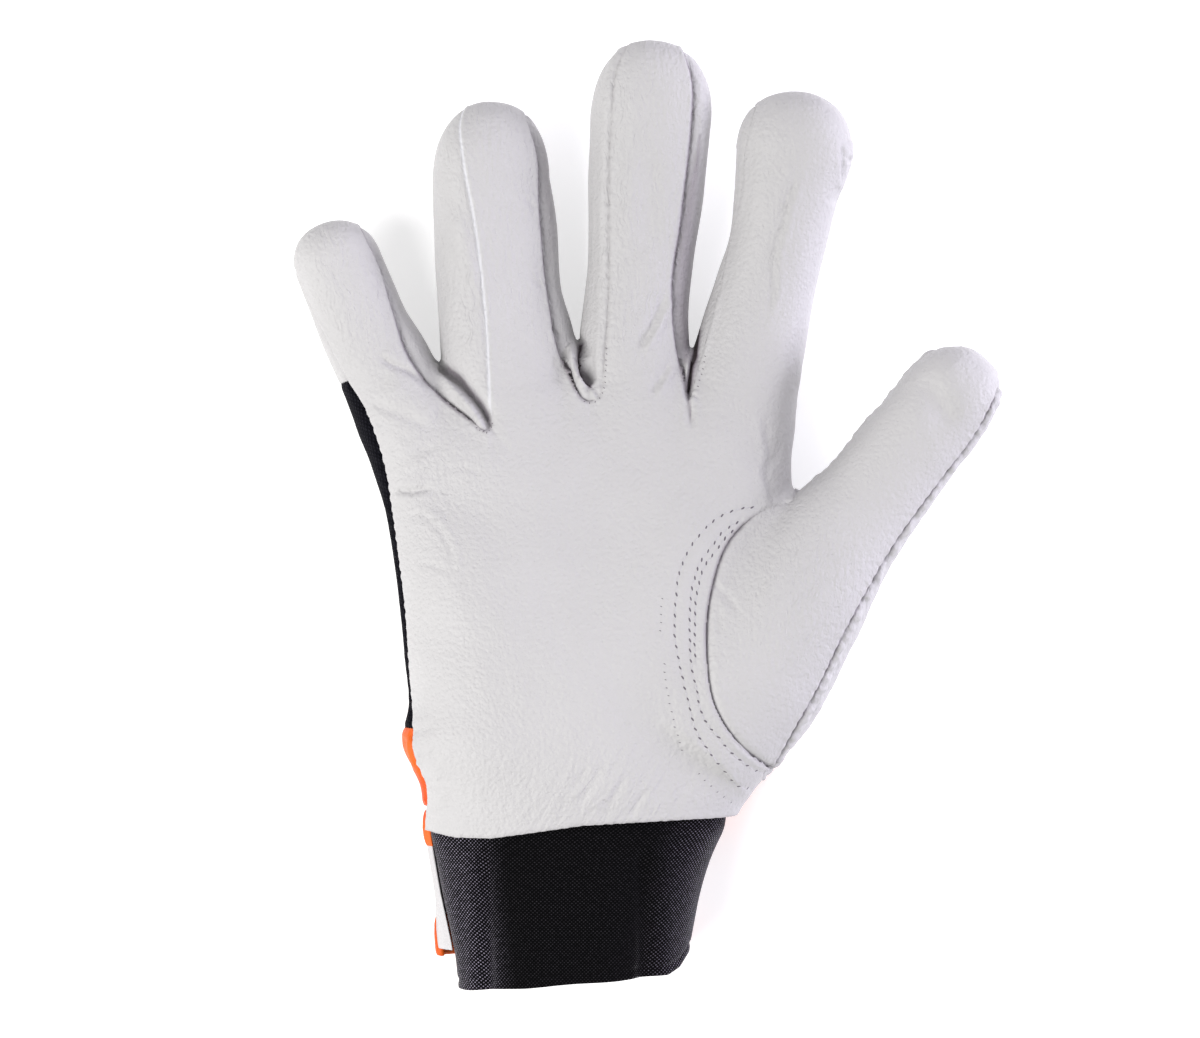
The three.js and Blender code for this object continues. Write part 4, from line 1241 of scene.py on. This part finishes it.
class Shader:
    """A material's node tree, with short ways to add nodes to it."""

    def __init__(self, name):
        self.material = bpy.data.materials.get(name) or bpy.data.materials.new(name)
        self.material.use_nodes = True
        self.tree = self.material.node_tree
        self.tree.nodes.clear()
        self.surface = self.add("BsdfPrincipled")
        output = self.add("OutputMaterial")
        self.tree.links.new(self.surface.outputs[0], output.inputs[0])

    def add(self, kind, inputs=None, **settings):
        """A new node, set and joined up."""
        node = self.tree.nodes.new("ShaderNode" + kind)
        for key, value in settings.items():
            setattr(node, key, value)
        for key, value in (inputs or {}).items():
            self.join(value, node.inputs[key])
        return node

    def join(self, value, socket):
        """Joins a wire to a socket, or sets the socket to a value."""
        if isinstance(value, Wire):
            self.tree.links.new(value.socket, socket)
        else:
            socket.default_value = value

    def wire(self, kind, inputs=None, output=0, **settings):
        """One output of a new node."""
        return Wire(self, self.add(kind, inputs, **settings).outputs[output])

    def parts(self, place):
        """The three numbers of a vector."""
        return [Wire(self, part) for part in self.add("SeparateXYZ", {0: place}).outputs]

    def math(self, operation, a, b=0.0):
        return self.wire("Math", {0: a, 1: b}, operation=operation)

    def vector(self, operation, a, b):
        return self.wire("VectorMath", {0: a, 1: b}, operation=operation)

    def turned(self, place, heading):
        return self.wire("Mapping", {"Vector": place, "Rotation": (0, 0, math.radians(heading))})

    def noise(self, place, scale, detail, distortion=0.0, output=0):
        inputs = {"Vector": place, "Scale": scale, "Detail": detail, "Distortion": distortion}
        return self.wire("TexNoise", inputs, output)

    def mark(self, name):
        return self.wire("Attribute", output="Fac", attribute_name=name)

    def ramp(self, value, low, high, start=0.0, end=1.0):
        inputs = {"Value": value, "From Min": low, "From Max": high, "To Min": start, "To Max": end}
        return self.wire("MapRange", inputs, interpolation_type="SMOOTHSTEP")

    def blend(self, share, a, b):
        return self.wire("Mix", {0: share, 6: a, 7: b}, 2, data_type="RGBA")

    def finish(self, colour, height, depth, **numbers):
        """The material: its colour, a relief of some depth in metres, and numbers of its surface."""
        normal = self.wire("Bump", {"Height": height, "Distance": depth, "Strength": 1.0})
        self.join(colour, self.surface.inputs["Base Color"])
        self.join(normal, self.surface.inputs["Normal"])
        for key, value in numbers.items():
            title = key.replace("_", " ").title().replace("Ior", "IOR")
            self.join(value, self.surface.inputs[title])
        return self.material


def paint(colour, share=1.0):
    """A colour with full opacity, darkened to a share."""
    return (colour[0] * share, colour[1] * share, colour[2] * share, 1.0)


def millimetres(shader):
    """The piece's own coordinates, counted in millimetres."""
    place = Wire(shader, shader.add("TexCoord").outputs["Object"])
    return shader.vector("MULTIPLY", place, (1000.0, 1000.0, 1000.0))


def fan_coordinates(shader, place):
    """Across and along the fingers, which spread out from one point."""
    x, y, z = shader.parts(shader.vector("SUBTRACT", place, FAN_POINT))
    angle = shader.math("ARCTAN2", x, y)
    far = shader.math("SQRT", x * x + y * y)
    return shader.wire("CombineXYZ", {0: angle * FAN_REACH, 1: far, 2: z})


def leather_material(name, colours, heading=None, ripple=1.7, pitch=1.25, stretch=0.1):
    """Smooth pale goatskin: fine pebbles, wrinkles along the fingers, a cooler painted shade in the seams
    and tucks, and a painted highlight on the ring finger's seam ridge.
    """
    s = Shader(name)
    place = millimetres(s)
    run = fan_coordinates(s, place) if heading is None else s.turned(place, heading)
    bend = s.noise(place, 0.16, 1.0, output="Color")
    bent = s.vector("ADD", run, s.vector("MULTIPLY", bend, (4.0, 1.0, 1.0)))
    pebble = s.wire("TexVoronoi", {"Vector": place, "Scale": 0.95}, feature="SMOOTH_F1")
    fine = s.noise(place, 1.7, 2.0, 0.4)
    wrinkle = s.noise(s.vector("MULTIPLY", bent, (1.0, stretch, 0.3)), pitch, 2.0, 0.5)
    slant = s.noise(s.vector("MULTIPLY", s.turned(place, 31), (1.0, 0.2, 1.0)), 0.45, 2.0, 0.5)
    worn = s.noise(place, 0.34, 3.0, 1.2)
    height = fine * 0.7 + pebble * 1.05 + wrinkle * (s.mark("long") * ripple)
    height = height + slant * (s.mark("slant") * 3.4) + worn * (s.mark("worn") * 2.4)
    cloud = s.ramp(s.noise(place, 0.02, 3.0), 0.35, 0.65)
    tone = s.blend(cloud, paint(colours.leather), paint(colours.leather, 0.965))
    shade = s.mark("shade")
    # Painted highlight along the ring finger's seam ridge, where the shade mark is below 0
    tone = s.blend(s.ramp(shade, 0.0, -0.8), tone, paint(colours.leather_edge_highlight))
    # Painted shade in the seams and tucks, darkest in the deepest tucks
    tone = s.blend(shade * 0.9, tone, paint(colours.leather_shade))
    tone = s.blend(s.ramp(shade, 0.9, 1.6), tone, paint(colours.leather_pit_shade))
    return s.finish(tone, height, 0.00022, roughness=0.52, specular_ior_level=0.35)


def suede_material(name, colours):
    """The unfinished side of the leather, which faces the hand."""
    s = Shader(name)
    nap = s.noise(millimetres(s), 1.6, 3.0)
    tone = s.blend(s.ramp(nap, 0.3, 0.7), paint(colours.suede), paint(colours.suede, 0.8))
    return s.finish(tone, nap, 0.0002, roughness=0.95, sheen_weight=0.2)


def stretch_material(name, colours):
    """Black stretch fabric with a fine braided rib."""
    s = Shader(name)
    place = millimetres(s)
    x, y, z = s.parts(place)
    ribs = s.math("SINE", (x + z * 0.7) * 5.2)
    steps = s.math("SINE", (y + x * 0.35) * 6.5)
    knit = (ribs + 1.0) * (steps + 1.4)
    fuzz = s.noise(place, 2.2, 3.0)
    share = s.ramp(knit, 0.6, 3.6) * s.ramp(fuzz, 0.3, 0.7, 0.5, 1.0)
    tone = s.blend(share, paint(colours.fabric), paint(colours.fabric_light))
    return s.finish(tone, knit * 0.25 + fuzz * 0.3, 0.0003, roughness=0.8, specular_ior_level=0.06)


def orange_material(name, colours):
    """Bright woven nylon, with a close thread pattern and a soft shine."""
    s = Shader(name)
    place = millimetres(s)
    x, y, z = s.parts(place)
    threads = s.math("SINE", (x + z) * 9.0) * s.math("SINE", y * 9.0)
    broad = s.noise(place, 0.07, 1.0)
    tone = s.blend(s.ramp(broad, 0.35, 0.7), paint(colours.orange), paint(colours.orange_light))
    return s.finish(tone, threads, 0.00003, roughness=0.5, specular_ior_level=0.25)


def knit_material(name, colours):
    """Black elastic knit: staggered points of light thread, read from the cuff's own map in millimetres."""
    s = Shader(name)
    weave = s.wire("UVMap", uv_map="weave")
    x, y, _ = s.parts(weave)
    u, v = (value * (2 * math.pi / pitch) for value, pitch in zip((x, y), KNIT_PITCH))
    dots = s.math("COSINE", u) * s.math("COSINE", v)
    rows = s.math("COSINE", u + v)
    lint = s.noise(weave, 0.9, 3.0)
    share = s.ramp(dots, 0.15, 0.95) * s.ramp(lint, 0.35, 0.65, 0.35, 1.0)
    # Painted sheen: the raised threads are lightened towards the cuff's sides by the stretch mark
    raised = s.blend(s.mark("stretch"), paint(colours.knit_light), paint(colours.knit_side_sheen))
    tone = s.blend(share, paint(colours.knit), raised)
    looks = {"roughness": 0.7, "specular_ior_level": 0.03, "sheen_weight": 0.3, "sheen_roughness": 0.25}
    return s.finish(tone, dots * 0.5 + rows * 0.12, 0.0002, **looks)


def plain_material(name, colour, rough, depth=0.00005, glow=0.0):
    """A small part's finish: one colour, a little uneven."""
    s = Shader(name)
    grain = s.noise(millimetres(s), 3.0, 2.0)
    tone = s.blend(s.ramp(grain, 0.3, 0.7), paint(colour), paint(colour, 0.88))
    lit = {"emission_color": (1.0, 1.0, 1.0, 1.0), "emission_strength": glow}
    return s.finish(tone, grain, depth, roughness=rough, **lit)


# Properties that a user may change


def length_property(name, description, length, least=0.0001):
    return bpy.props.FloatProperty(
        name=name, description=description, unit="LENGTH", min=least, default=length
    )


class GloveSizes(bpy.types.PropertyGroup):
    leather: length_property("Leather", "Thickness of every sewn panel", 0.0014, 0.0005)
    knit: length_property("Knit", "Thickness of the doubled knit cuff", 0.0018, 0.0005)
    step: length_property("Surface step", "Size of the skin's triangles away from its seams", 0.001, 0.0006)
    thread: length_property("Thread", "Thickness of the sewing thread", 0.00042)
    stitch: length_property("Stitch", "Length of thread that shows at each stitch", 0.0015)
    hole: length_property("Needle hole", "Length of the slit at each stitch", 0.0013)


def colour_property(name, description, colour):
    return bpy.props.FloatVectorProperty(
        name=name, description=description, subtype="COLOR", size=3, min=0.0, max=1.0, default=colour
    )


class GloveColours(bpy.types.PropertyGroup):
    leather: colour_property("Leather", "Grain side of the goatskin", (0.455, 0.447, 0.452))
    # Painted shade in the seams and tucks
    leather_shade: colour_property("Leather shade", "Tint in the pits and seams", (0.20, 0.175, 0.20))
    # Painted highlight along the ring finger's seam ridge
    leather_edge_highlight: colour_property("Leather edge", "Bright turned edge on the ring finger", (0.62, 0.62, 0.66))
    # Painted shadow in the deepest tucks
    leather_pit_shade: colour_property("Leather pit", "Tint in the deepest tucks", (0.030, 0.022, 0.024))
    suede: colour_property("Suede", "Flesh side of the leather", (0.36, 0.35, 0.34))
    fabric: colour_property("Back fabric", "Dark threads of the stretch fabric", (0.003, 0.003, 0.005))
    fabric_light: colour_property("Back fabric, raised", "Raised threads of it", (0.013, 0.012, 0.018))
    orange: colour_property("Orange", "Wrist panel and bindings", (0.56, 0.060, 0.006))
    orange_light: colour_property("Orange, light", "Where its folds catch the light", (0.66, 0.11, 0.008))
    knit: colour_property("Knit", "Cuff between its raised threads", (0.0012, 0.0011, 0.0014))
    knit_light: colour_property("Knit, raised", "Raised threads of the cuff", (0.028, 0.026, 0.030))
    # Painted sheen on the cuff's sides
    knit_side_sheen: colour_property("Knit, stretched", "Core threads at the cuff's sides", (0.31, 0.28, 0.36))
    strap: colour_property("Strap", "Face of the closing strap", (0.50, 0.49, 0.50))
    thread: colour_property("Thread", "Sewing thread", (0.47, 0.46, 0.48))
    needle_hole_shade: colour_property("Needle hole", "Shade inside the needle holes", (0.13, 0.115, 0.135))
    floor: colour_property("Floor", "Surface that the glove lies on", (0.80, 0.80, 0.80))


# Operators


def choices(context):
    """The sizes and colours that are set in the scene."""
    return context.scene.glove_sizes, context.scene.glove_colours


class GLOVE_OT_leather(bpy.types.Operator):
    """Cut the palm, the thumb, the gussets and the finger backs out of the skin"""

    bl_idname = "glove.leather"
    bl_label = "Leather panels"

    def execute(self, context):
        sizes, colours = choices(context)
        suede = suede_material("Leather flesh side", colours)
        front = leather_material("Goatskin", colours)
        thumb = leather_material("Goatskin, thumb", colours, heading=6, ripple=2.4, pitch=1.15, stretch=0.35)
        panels = ["palm_leather", "thumb_front", "thumb_back"]
        panels += [f"gusset_{name}" for name in GUSSETS] + [f"finger_back_{name}" for name in FINGER_SPANS]
        for name in panels:
            made = wall(cut_panel(name, sizes.step / MM), sizes.leather)
            dress(made, "goatskin", name, thumb if name.startswith("thumb") else front, suede)
        return {"FINISHED"}


class GLOVE_OT_back(bpy.types.Operator):
    """Cut the stretch-fabric back and the wrist panel out of the skin"""

    bl_idname = "glove.back"
    bl_label = "Back and wrist panel"

    def execute(self, context):
        sizes, colours = choices(context)
        for name, slot, material in (
            ("hand_back", "back_fabric", stretch_material("Stretch fabric", colours)),
            ("wrist_yoke", "yoke_fabric", orange_material("Orange nylon", colours)),
        ):
            made = wall(cut_panel(name, sizes.step / MM), sizes.leather, inner=False)
            dress(made, slot, name, material)
        return {"FINISHED"}


def superellipse(angle, power):
    """Points of a unit superellipse at angles."""
    c, s = np.cos(angle), np.sin(angle)
    return np.sign(c) * np.abs(c) ** (2 / power), np.sign(s) * np.abs(s) ** (2 / power)


def grid_faces(rows, columns):
    """Quads over a grid of points, row by row, with the last column joined to the first."""
    i, j = (part.ravel() for part in np.meshgrid(np.arange(rows - 1), np.arange(columns), indexing="ij"))
    k = (j + 1) % columns
    return np.column_stack((i * columns + j, i * columns + k, (i + 1) * columns + k, (i + 1) * columns + j))


def cuff_place(y, angle, out=0.0):
    """A point of the cuff's outer face, by distance along the wrist and angle round it."""
    table = np.asarray(CUFF, float)
    along = table[0, 1] - table[:, 1]
    rows = resample(table, along, np.linspace(0, along[-1], CUFF_STEPS))
    middle, half, deep, base = (np.interp(-y, -rows[:, 1], rows[:, i]) for i in (0, 2, 3, 4))
    cu, cw = superellipse(angle, SQUARE_CUFF)
    return np.stack((middle + cu * (half + out), y + 0 * cu, base + deep + cw * (deep + out)), -1)


def cuff_points():
    """The cuff's outer face, row by row, and how much painted sheen lightens the knit there."""
    angle = 2 * np.pi * np.arange(CUFF_SIDES) / CUFF_SIDES
    x_round = cuff_place(np.full(CUFF_SIDES, -118.0), angle)[:, 0]
    last = level(CUFF_EDGE, x_round) + 0.12 * np.sin(angle * 9)
    share = np.linspace(0, 1, CUFF_ROWS)[:, None]
    y = CUFF_TOP * (1 - share) + last * share
    points = cuff_place(y, np.broadcast_to(angle, y.shape))
    out = points - cuff_place(y, np.broadcast_to(angle, y.shape), -1.0)
    height = waves((points * (1, 0.35, 1)).reshape(-1, 3), "cuff").reshape(y.shape)
    on_palm_side = points[..., 2] > 15
    for place, deep, wide in CUFF_FOLDS:
        height -= deep * bell((points[..., 0] - place) / wide) * on_palm_side
    free = smoothstep(-y, 85, 91)
    height = height * free - 0.35 * bell((y - last - 2.2) / 0.6)
    # Painted sheen: the knit is lightened towards the cuff's sides, the left side most, where grazing light
    # catches it
    aside = np.broadcast_to(superellipse(angle, SQUARE_CUFF)[0], y.shape)
    stretch = smoothstep(-aside, 0.45, 0.85) + 0.7 * smoothstep(aside, 0.5, 1.0)
    return points + out * height[..., None], stretch


def map_weave(made, points):
    """Lays a map in millimetres round and along the cuff, with whole stitches at its join."""
    girth = np.linalg.norm(np.roll(points, -1, 1) - points, axis=2)[CUFF_ROWS // 2]
    around = np.concatenate(([0.0], np.cumsum(girth)))
    around *= round(around[-1] / KNIT_PITCH[0]) * KNIT_PITCH[0] / around[-1]
    corner = np.zeros(len(made.data.loops), int)
    made.data.loops.foreach_get("vertex_index", corner)
    column = (corner % CUFF_SIDES).reshape(-1, 4)
    wrapped = (np.ptp(column, axis=1)[:, None] > 1) & (column == 0)
    u = np.where(wrapped, around[-1], around[column]).ravel()
    layer = made.data.uv_layers.new(name="weave")
    layer.data.foreach_set("uv", np.column_stack((u, points.reshape(-1, 3)[corner, 1])).ravel())


class GLOVE_OT_cuff(bpy.types.Operator):
    """Knit the cuff, which goes up inside the leather hem"""

    bl_idname = "glove.cuff"
    bl_label = "Knit cuff"

    def execute(self, context):
        sizes, colours = choices(context)
        points, stretch = cuff_points()
        faces = grid_faces(CUFF_ROWS, CUFF_SIDES)
        # The stretch mark holds the painted sheen on the cuff's sides
        made = mesh_object("knit_cuff_tube", points.reshape(-1, 3), faces, {"stretch": stretch})
        map_weave(made, points)
        wall(made, sizes.knit, inner=False)
        dress(made, "cuff_knit", "knit_cuff", knit_material("Black knit", colours))
        return {"FINISHED"}


def strap_band(name, band, bound):
    """One band of the strap, swept round the back of the wrist."""
    (top, bottom), thick = band["y"], band["thick"]
    corner = np.linspace(0, 2 * np.pi, BAND_SIDES, endpoint=False)
    wide, up = superellipse(corner, 4 if bound else 7)
    degrees = np.linspace(*band["ends"], STRAP_STEPS)[:, None]
    flare = smoothstep(degrees, *STRAP_FLARE)
    start = band.get("start", 0.2)
    thin = start + (1 - start) * smoothstep(degrees, band["ends"][0], band["ends"][0] + 6)
    out = STRAP_CLEAR * flare + STRAP_LIFT * thin + thick / 2 * thin * up
    y = np.broadcast_to((top + bottom) / 2 + (top - bottom) / 2 * wide, (STRAP_STEPS, BAND_SIDES))
    sweep = cuff_place(y, np.broadcast_to(np.radians(degrees), y.shape), out)
    edge = cuff_place(y, np.full(y.shape, np.pi), STRAP_CLEAR + STRAP_BOW)[..., 0]
    pulled = smoothstep(-degrees, *(-end for end in STRAP_PULLED))
    sweep[..., 0] -= np.maximum(0, edge - level(STRAP, -y)) * flare * pulled
    sweep[..., 2] += waves(sweep.reshape(-1, 3), "binding" if bound else "strap").reshape(y.shape)
    faces = grid_faces(STRAP_STEPS, BAND_SIDES).tolist()
    first, last = range(BAND_SIDES), range(sweep[..., 0].size - BAND_SIDES, sweep[..., 0].size)
    made = mesh_object(name + "_band", sweep.reshape(-1, 3), [*faces, first[::-1], last])
    turn_outward(made)
    return made


class GLOVE_OT_strap(bpy.types.Operator):
    """Sweep the closing strap and its bound edges round the back of the wrist"""

    bl_idname = "glove.strap"
    bl_label = "Closing strap"

    def execute(self, context):
        _, colours = choices(context)
        face = plain_material("Strap face", colours.strap, 0.5, 0.00008)
        orange = orange_material("Orange nylon", colours)
        for name, band in STRAP_BANDS.items():
            bound = "binding" in name
            made = strap_band(name, band, bound)
            dress(made, "binding" if bound else "strap_face", name, orange if bound else face)
        return {"FINISHED"}


def stitch_tree():
    """Geometry nodes that set a small rounded form on each point, turned by its named directions."""
    tree = bpy.data.node_groups.get("Stitches")
    if tree:
        return tree
    tree = bpy.data.node_groups.new("Stitches", "GeometryNodeTree")
    sides = ("Length", "Width", "Height")
    sockets = [("Geometry", "INPUT", "Geometry"), *((name, "INPUT", "Float") for name in sides)]
    sockets += [("Material", "INPUT", "Material"), ("Geometry", "OUTPUT", "Geometry")]
    for name, way, kind in sockets:
        tree.interface.new_socket(name, in_out=way, socket_type="NodeSocket" + kind)
    link = tree.links.new

    def add(kind, **values):
        node = tree.nodes.new(kind)
        for key, value in values.items():
            node.inputs[key].default_value = value
        return node

    source, result = add("NodeGroupInput"), add("NodeGroupOutput")
    form = add("GeometryNodeMeshUVSphere", Segments=8, Rings=6, Radius=0.5)
    size = add("ShaderNodeCombineXYZ")
    for i, name in enumerate(sides):
        link(source.outputs[name], size.inputs[i])
    shape = add("GeometryNodeTransform")
    link(form.outputs["Mesh"], shape.inputs["Geometry"])
    link(size.outputs[0], shape.inputs["Scale"])
    turn = add("FunctionNodeAxesToRotation")
    turn.primary_axis, turn.secondary_axis = "Z", "X"
    for i, name in enumerate(("up", "way")):
        named = add("GeometryNodeInputNamedAttribute")
        named.data_type = "FLOAT_VECTOR"
        named.inputs["Name"].default_value = name
        link(named.outputs["Attribute"], turn.inputs[i])
    place = add("GeometryNodeInstanceOnPoints")
    link(source.outputs["Geometry"], place.inputs["Points"])
    link(shape.outputs["Geometry"], place.inputs["Instance"])
    link(turn.outputs[0], place.inputs["Rotation"])
    last = place.outputs["Instances"]
    for kind in ("RealizeInstances", "SetShadeSmooth", "SetMaterial"):
        node = add("GeometryNode" + kind)
        link(last, node.inputs["Geometry"])
        last = node.outputs["Geometry"]
    link(source.outputs["Material"], node.inputs["Material"])
    link(last, result.inputs["Geometry"])
    return tree


def sew(name, found, size, material):
    """A row of small forms as one mesh: the place of each in metres, the way along it and the way up."""
    places, ways, ups = zip(*found)
    mesh = bpy.data.meshes.new(name)
    mesh.from_pydata([tuple(p) for p in places], [], [])
    set_marks(mesh, "FLOAT_VECTOR", "vector", {"way": ways, "up": ups})
    made = new_object(name, mesh)
    modifier = made.modifiers.new("Stitches", "NODES")
    modifier.node_group = stitch_tree()
    given = {"Length": size[0], "Width": size[1], "Height": size[2], "Material": material}
    for socket in modifier.node_group.interface.items_tree:
        if socket.in_out == "INPUT" and socket.name in given:
            modifier[socket.identifier] = given[socket.name]
    settle_modifiers(made)
    return dress(made, "goatskin", None, material)


def drop(made, points):
    """Where points seen from above lie on an object, and its direction outwards there."""
    tree = BVHTree.FromObject(made, bpy.context.evaluated_depsgraph_get())
    found = []
    for x, y in points:
        place, normal, _, _ = tree.ray_cast(Vector((x * MM, y * MM, 0.2)), Vector((0, 0, -1)))
        found.append((place, normal) if place else None)
    return found


def stitch_places(way, step):
    """Points and directions at even steps along a smooth way."""
    line = smooth_line(way, 0.25)
    along = travelled(line)
    at = np.arange(step / 2, along[-1], step)

    def read(at):
        return np.column_stack([np.interp(at, along, line[:, i]) for i in (0, 1)])

    heading = read(at + 0.3) - read(at - 0.3)
    return read(at), heading / np.linalg.norm(heading, axis=1)[:, None]


class GLOVE_OT_stitches(bpy.types.Operator):
    """Sew the rows of stitches beside the thumb and at the fingers' roots"""

    bl_idname = "glove.stitches"
    bl_label = "Stitches"

    def execute(self, context):
        sizes, colours = choices(context)
        palm = bpy.data.objects["palm_leather_panel"]
        thread = plain_material("Sewing thread", colours.thread, 0.6)
        # The needle holes, full and faint, are small dark forms that stand for painted shade inside each hole
        hole = plain_material("Needle hole", colours.needle_hole_shade, 0.9)
        rows = {"holes": [], "threads": [], "faint": []}
        random = np.random.default_rng(4)
        for step, faint, way in STITCH_ROWS.values():
            places, headings = stitch_places(way, step)
            places = places + random.normal(0, STITCH_JITTER, places.shape)
            slant = math.radians(FAINT_SLANT if faint else HOLE_SLANT)
            c, s = math.cos(slant), math.sin(slant)
            for (x, y), (dx, dy), found in zip(places, headings, drop(palm, places)):
                if not found:
                    continue
                tilt = Vector((dx * c - dy * s, dx * s + dy * c, 0))
                rows["faint" if faint else "holes"].append((found[0], tilt, found[1]))
                middle = None if faint else drop(palm, [(x + dx * step / 2, y + dy * step / 2)])[0]
                if middle:
                    rows["threads"].append((middle[0], Vector((dx, dy, 0)), middle[1]))
        for name, size, material in (
            ("holes", (sizes.hole, sizes.hole * 0.38, HOLE_HEIGHT), hole),
            ("threads", (sizes.stitch, sizes.thread, sizes.thread * 0.55), thread),
            ("faint", (sizes.hole * 0.5, sizes.hole * 0.17, HOLE_HEIGHT), hole),
        ):
            sew("stitch_" + name, rows[name], size, material)
        return {"FINISHED"}


class GLOVE_OT_stage(bpy.types.Operator):
    """Set up the pale floor, the soft lights and the camera over the palm"""

    bl_idname = "glove.stage"
    bl_label = "Floor, light and camera"

    def execute(self, context):
        scene, (_, colours) = context.scene, choices(context)
        floor = mesh_object("floor", FLOOR_CORNERS, [(0, 1, 2, 3)])
        floor.data.materials.append(plain_material("Pale floor", colours.floor, 0.9, 0.00002, FLOOR_GLOW))
        world = bpy.data.worlds.new("Soft surround")
        world.use_nodes = True
        background = world.node_tree.nodes["Background"]
        background.inputs["Color"].default_value = (1.0, 1.0, 1.0, 1.0)
        background.inputs["Strength"].default_value = SURROUND
        scene.world = world
        for name, (place, size, power, tint) in LAMPS.items():
            light = bpy.data.lights.new(name, "AREA")
            light.shape, light.size, light.energy, light.color = "DISK", size, power, tint
            holder = new_object(name, light)
            holder.location = place
            holder.rotation_mode = "QUATERNION"
            holder.rotation_quaternion = (Vector(LAMPS_AIM) - Vector(place)).to_track_quat("-Z", "Y")
        camera = bpy.data.cameras.new("camera")
        camera.sensor_width, camera.lens = CAMERA_SENSOR, CAMERA_LENS
        camera.clip_start, camera.clip_end = CAMERA_CLIP
        scene.camera = new_object("camera", camera)
        scene.camera.location = CAMERA_PLACE
        scene.view_settings.view_transform = "Standard"
        return {"FINISHED"}


OPERATORS = (
    GLOVE_OT_stage,
    GLOVE_OT_leather,
    GLOVE_OT_back,
    GLOVE_OT_cuff,
    GLOVE_OT_strap,
    GLOVE_OT_stitches,
)


class GLOVE_PT_panel(bpy.types.Panel):
    """Lists the glove's sizes, colours and pieces"""

    bl_idname = "GLOVE_PT_panel"
    bl_label = "Work glove"
    bl_space_type = "VIEW_3D"
    bl_region_type = "UI"
    bl_category = "Glove"

    def draw(self, context):
        layout = self.layout
        for group in (context.scene.glove_sizes, context.scene.glove_colours):
            box = layout.box()
            for name in group.__annotations__:
                box.prop(group, name)
        for operator in OPERATORS:
            layout.operator(operator.bl_idname)


CLASSES = (GloveSizes, GloveColours, *OPERATORS, GLOVE_PT_panel)


def register():
    for kind in CLASSES:
        bpy.utils.register_class(kind)
    bpy.types.Scene.glove_sizes = bpy.props.PointerProperty(type=GloveSizes)
    bpy.types.Scene.glove_colours = bpy.props.PointerProperty(type=GloveColours)


def unregister():
    del bpy.types.Scene.glove_colours
    del bpy.types.Scene.glove_sizes
    for kind in reversed(CLASSES):
        bpy.utils.unregister_class(kind)


def main():
    register()
    bpy.ops.glove.stage()
    bpy.ops.glove.leather()
    bpy.ops.glove.back()
    bpy.ops.glove.cuff()
    bpy.ops.glove.strap()
    bpy.ops.glove.stitches()


if __name__ == "__main__":
    main()
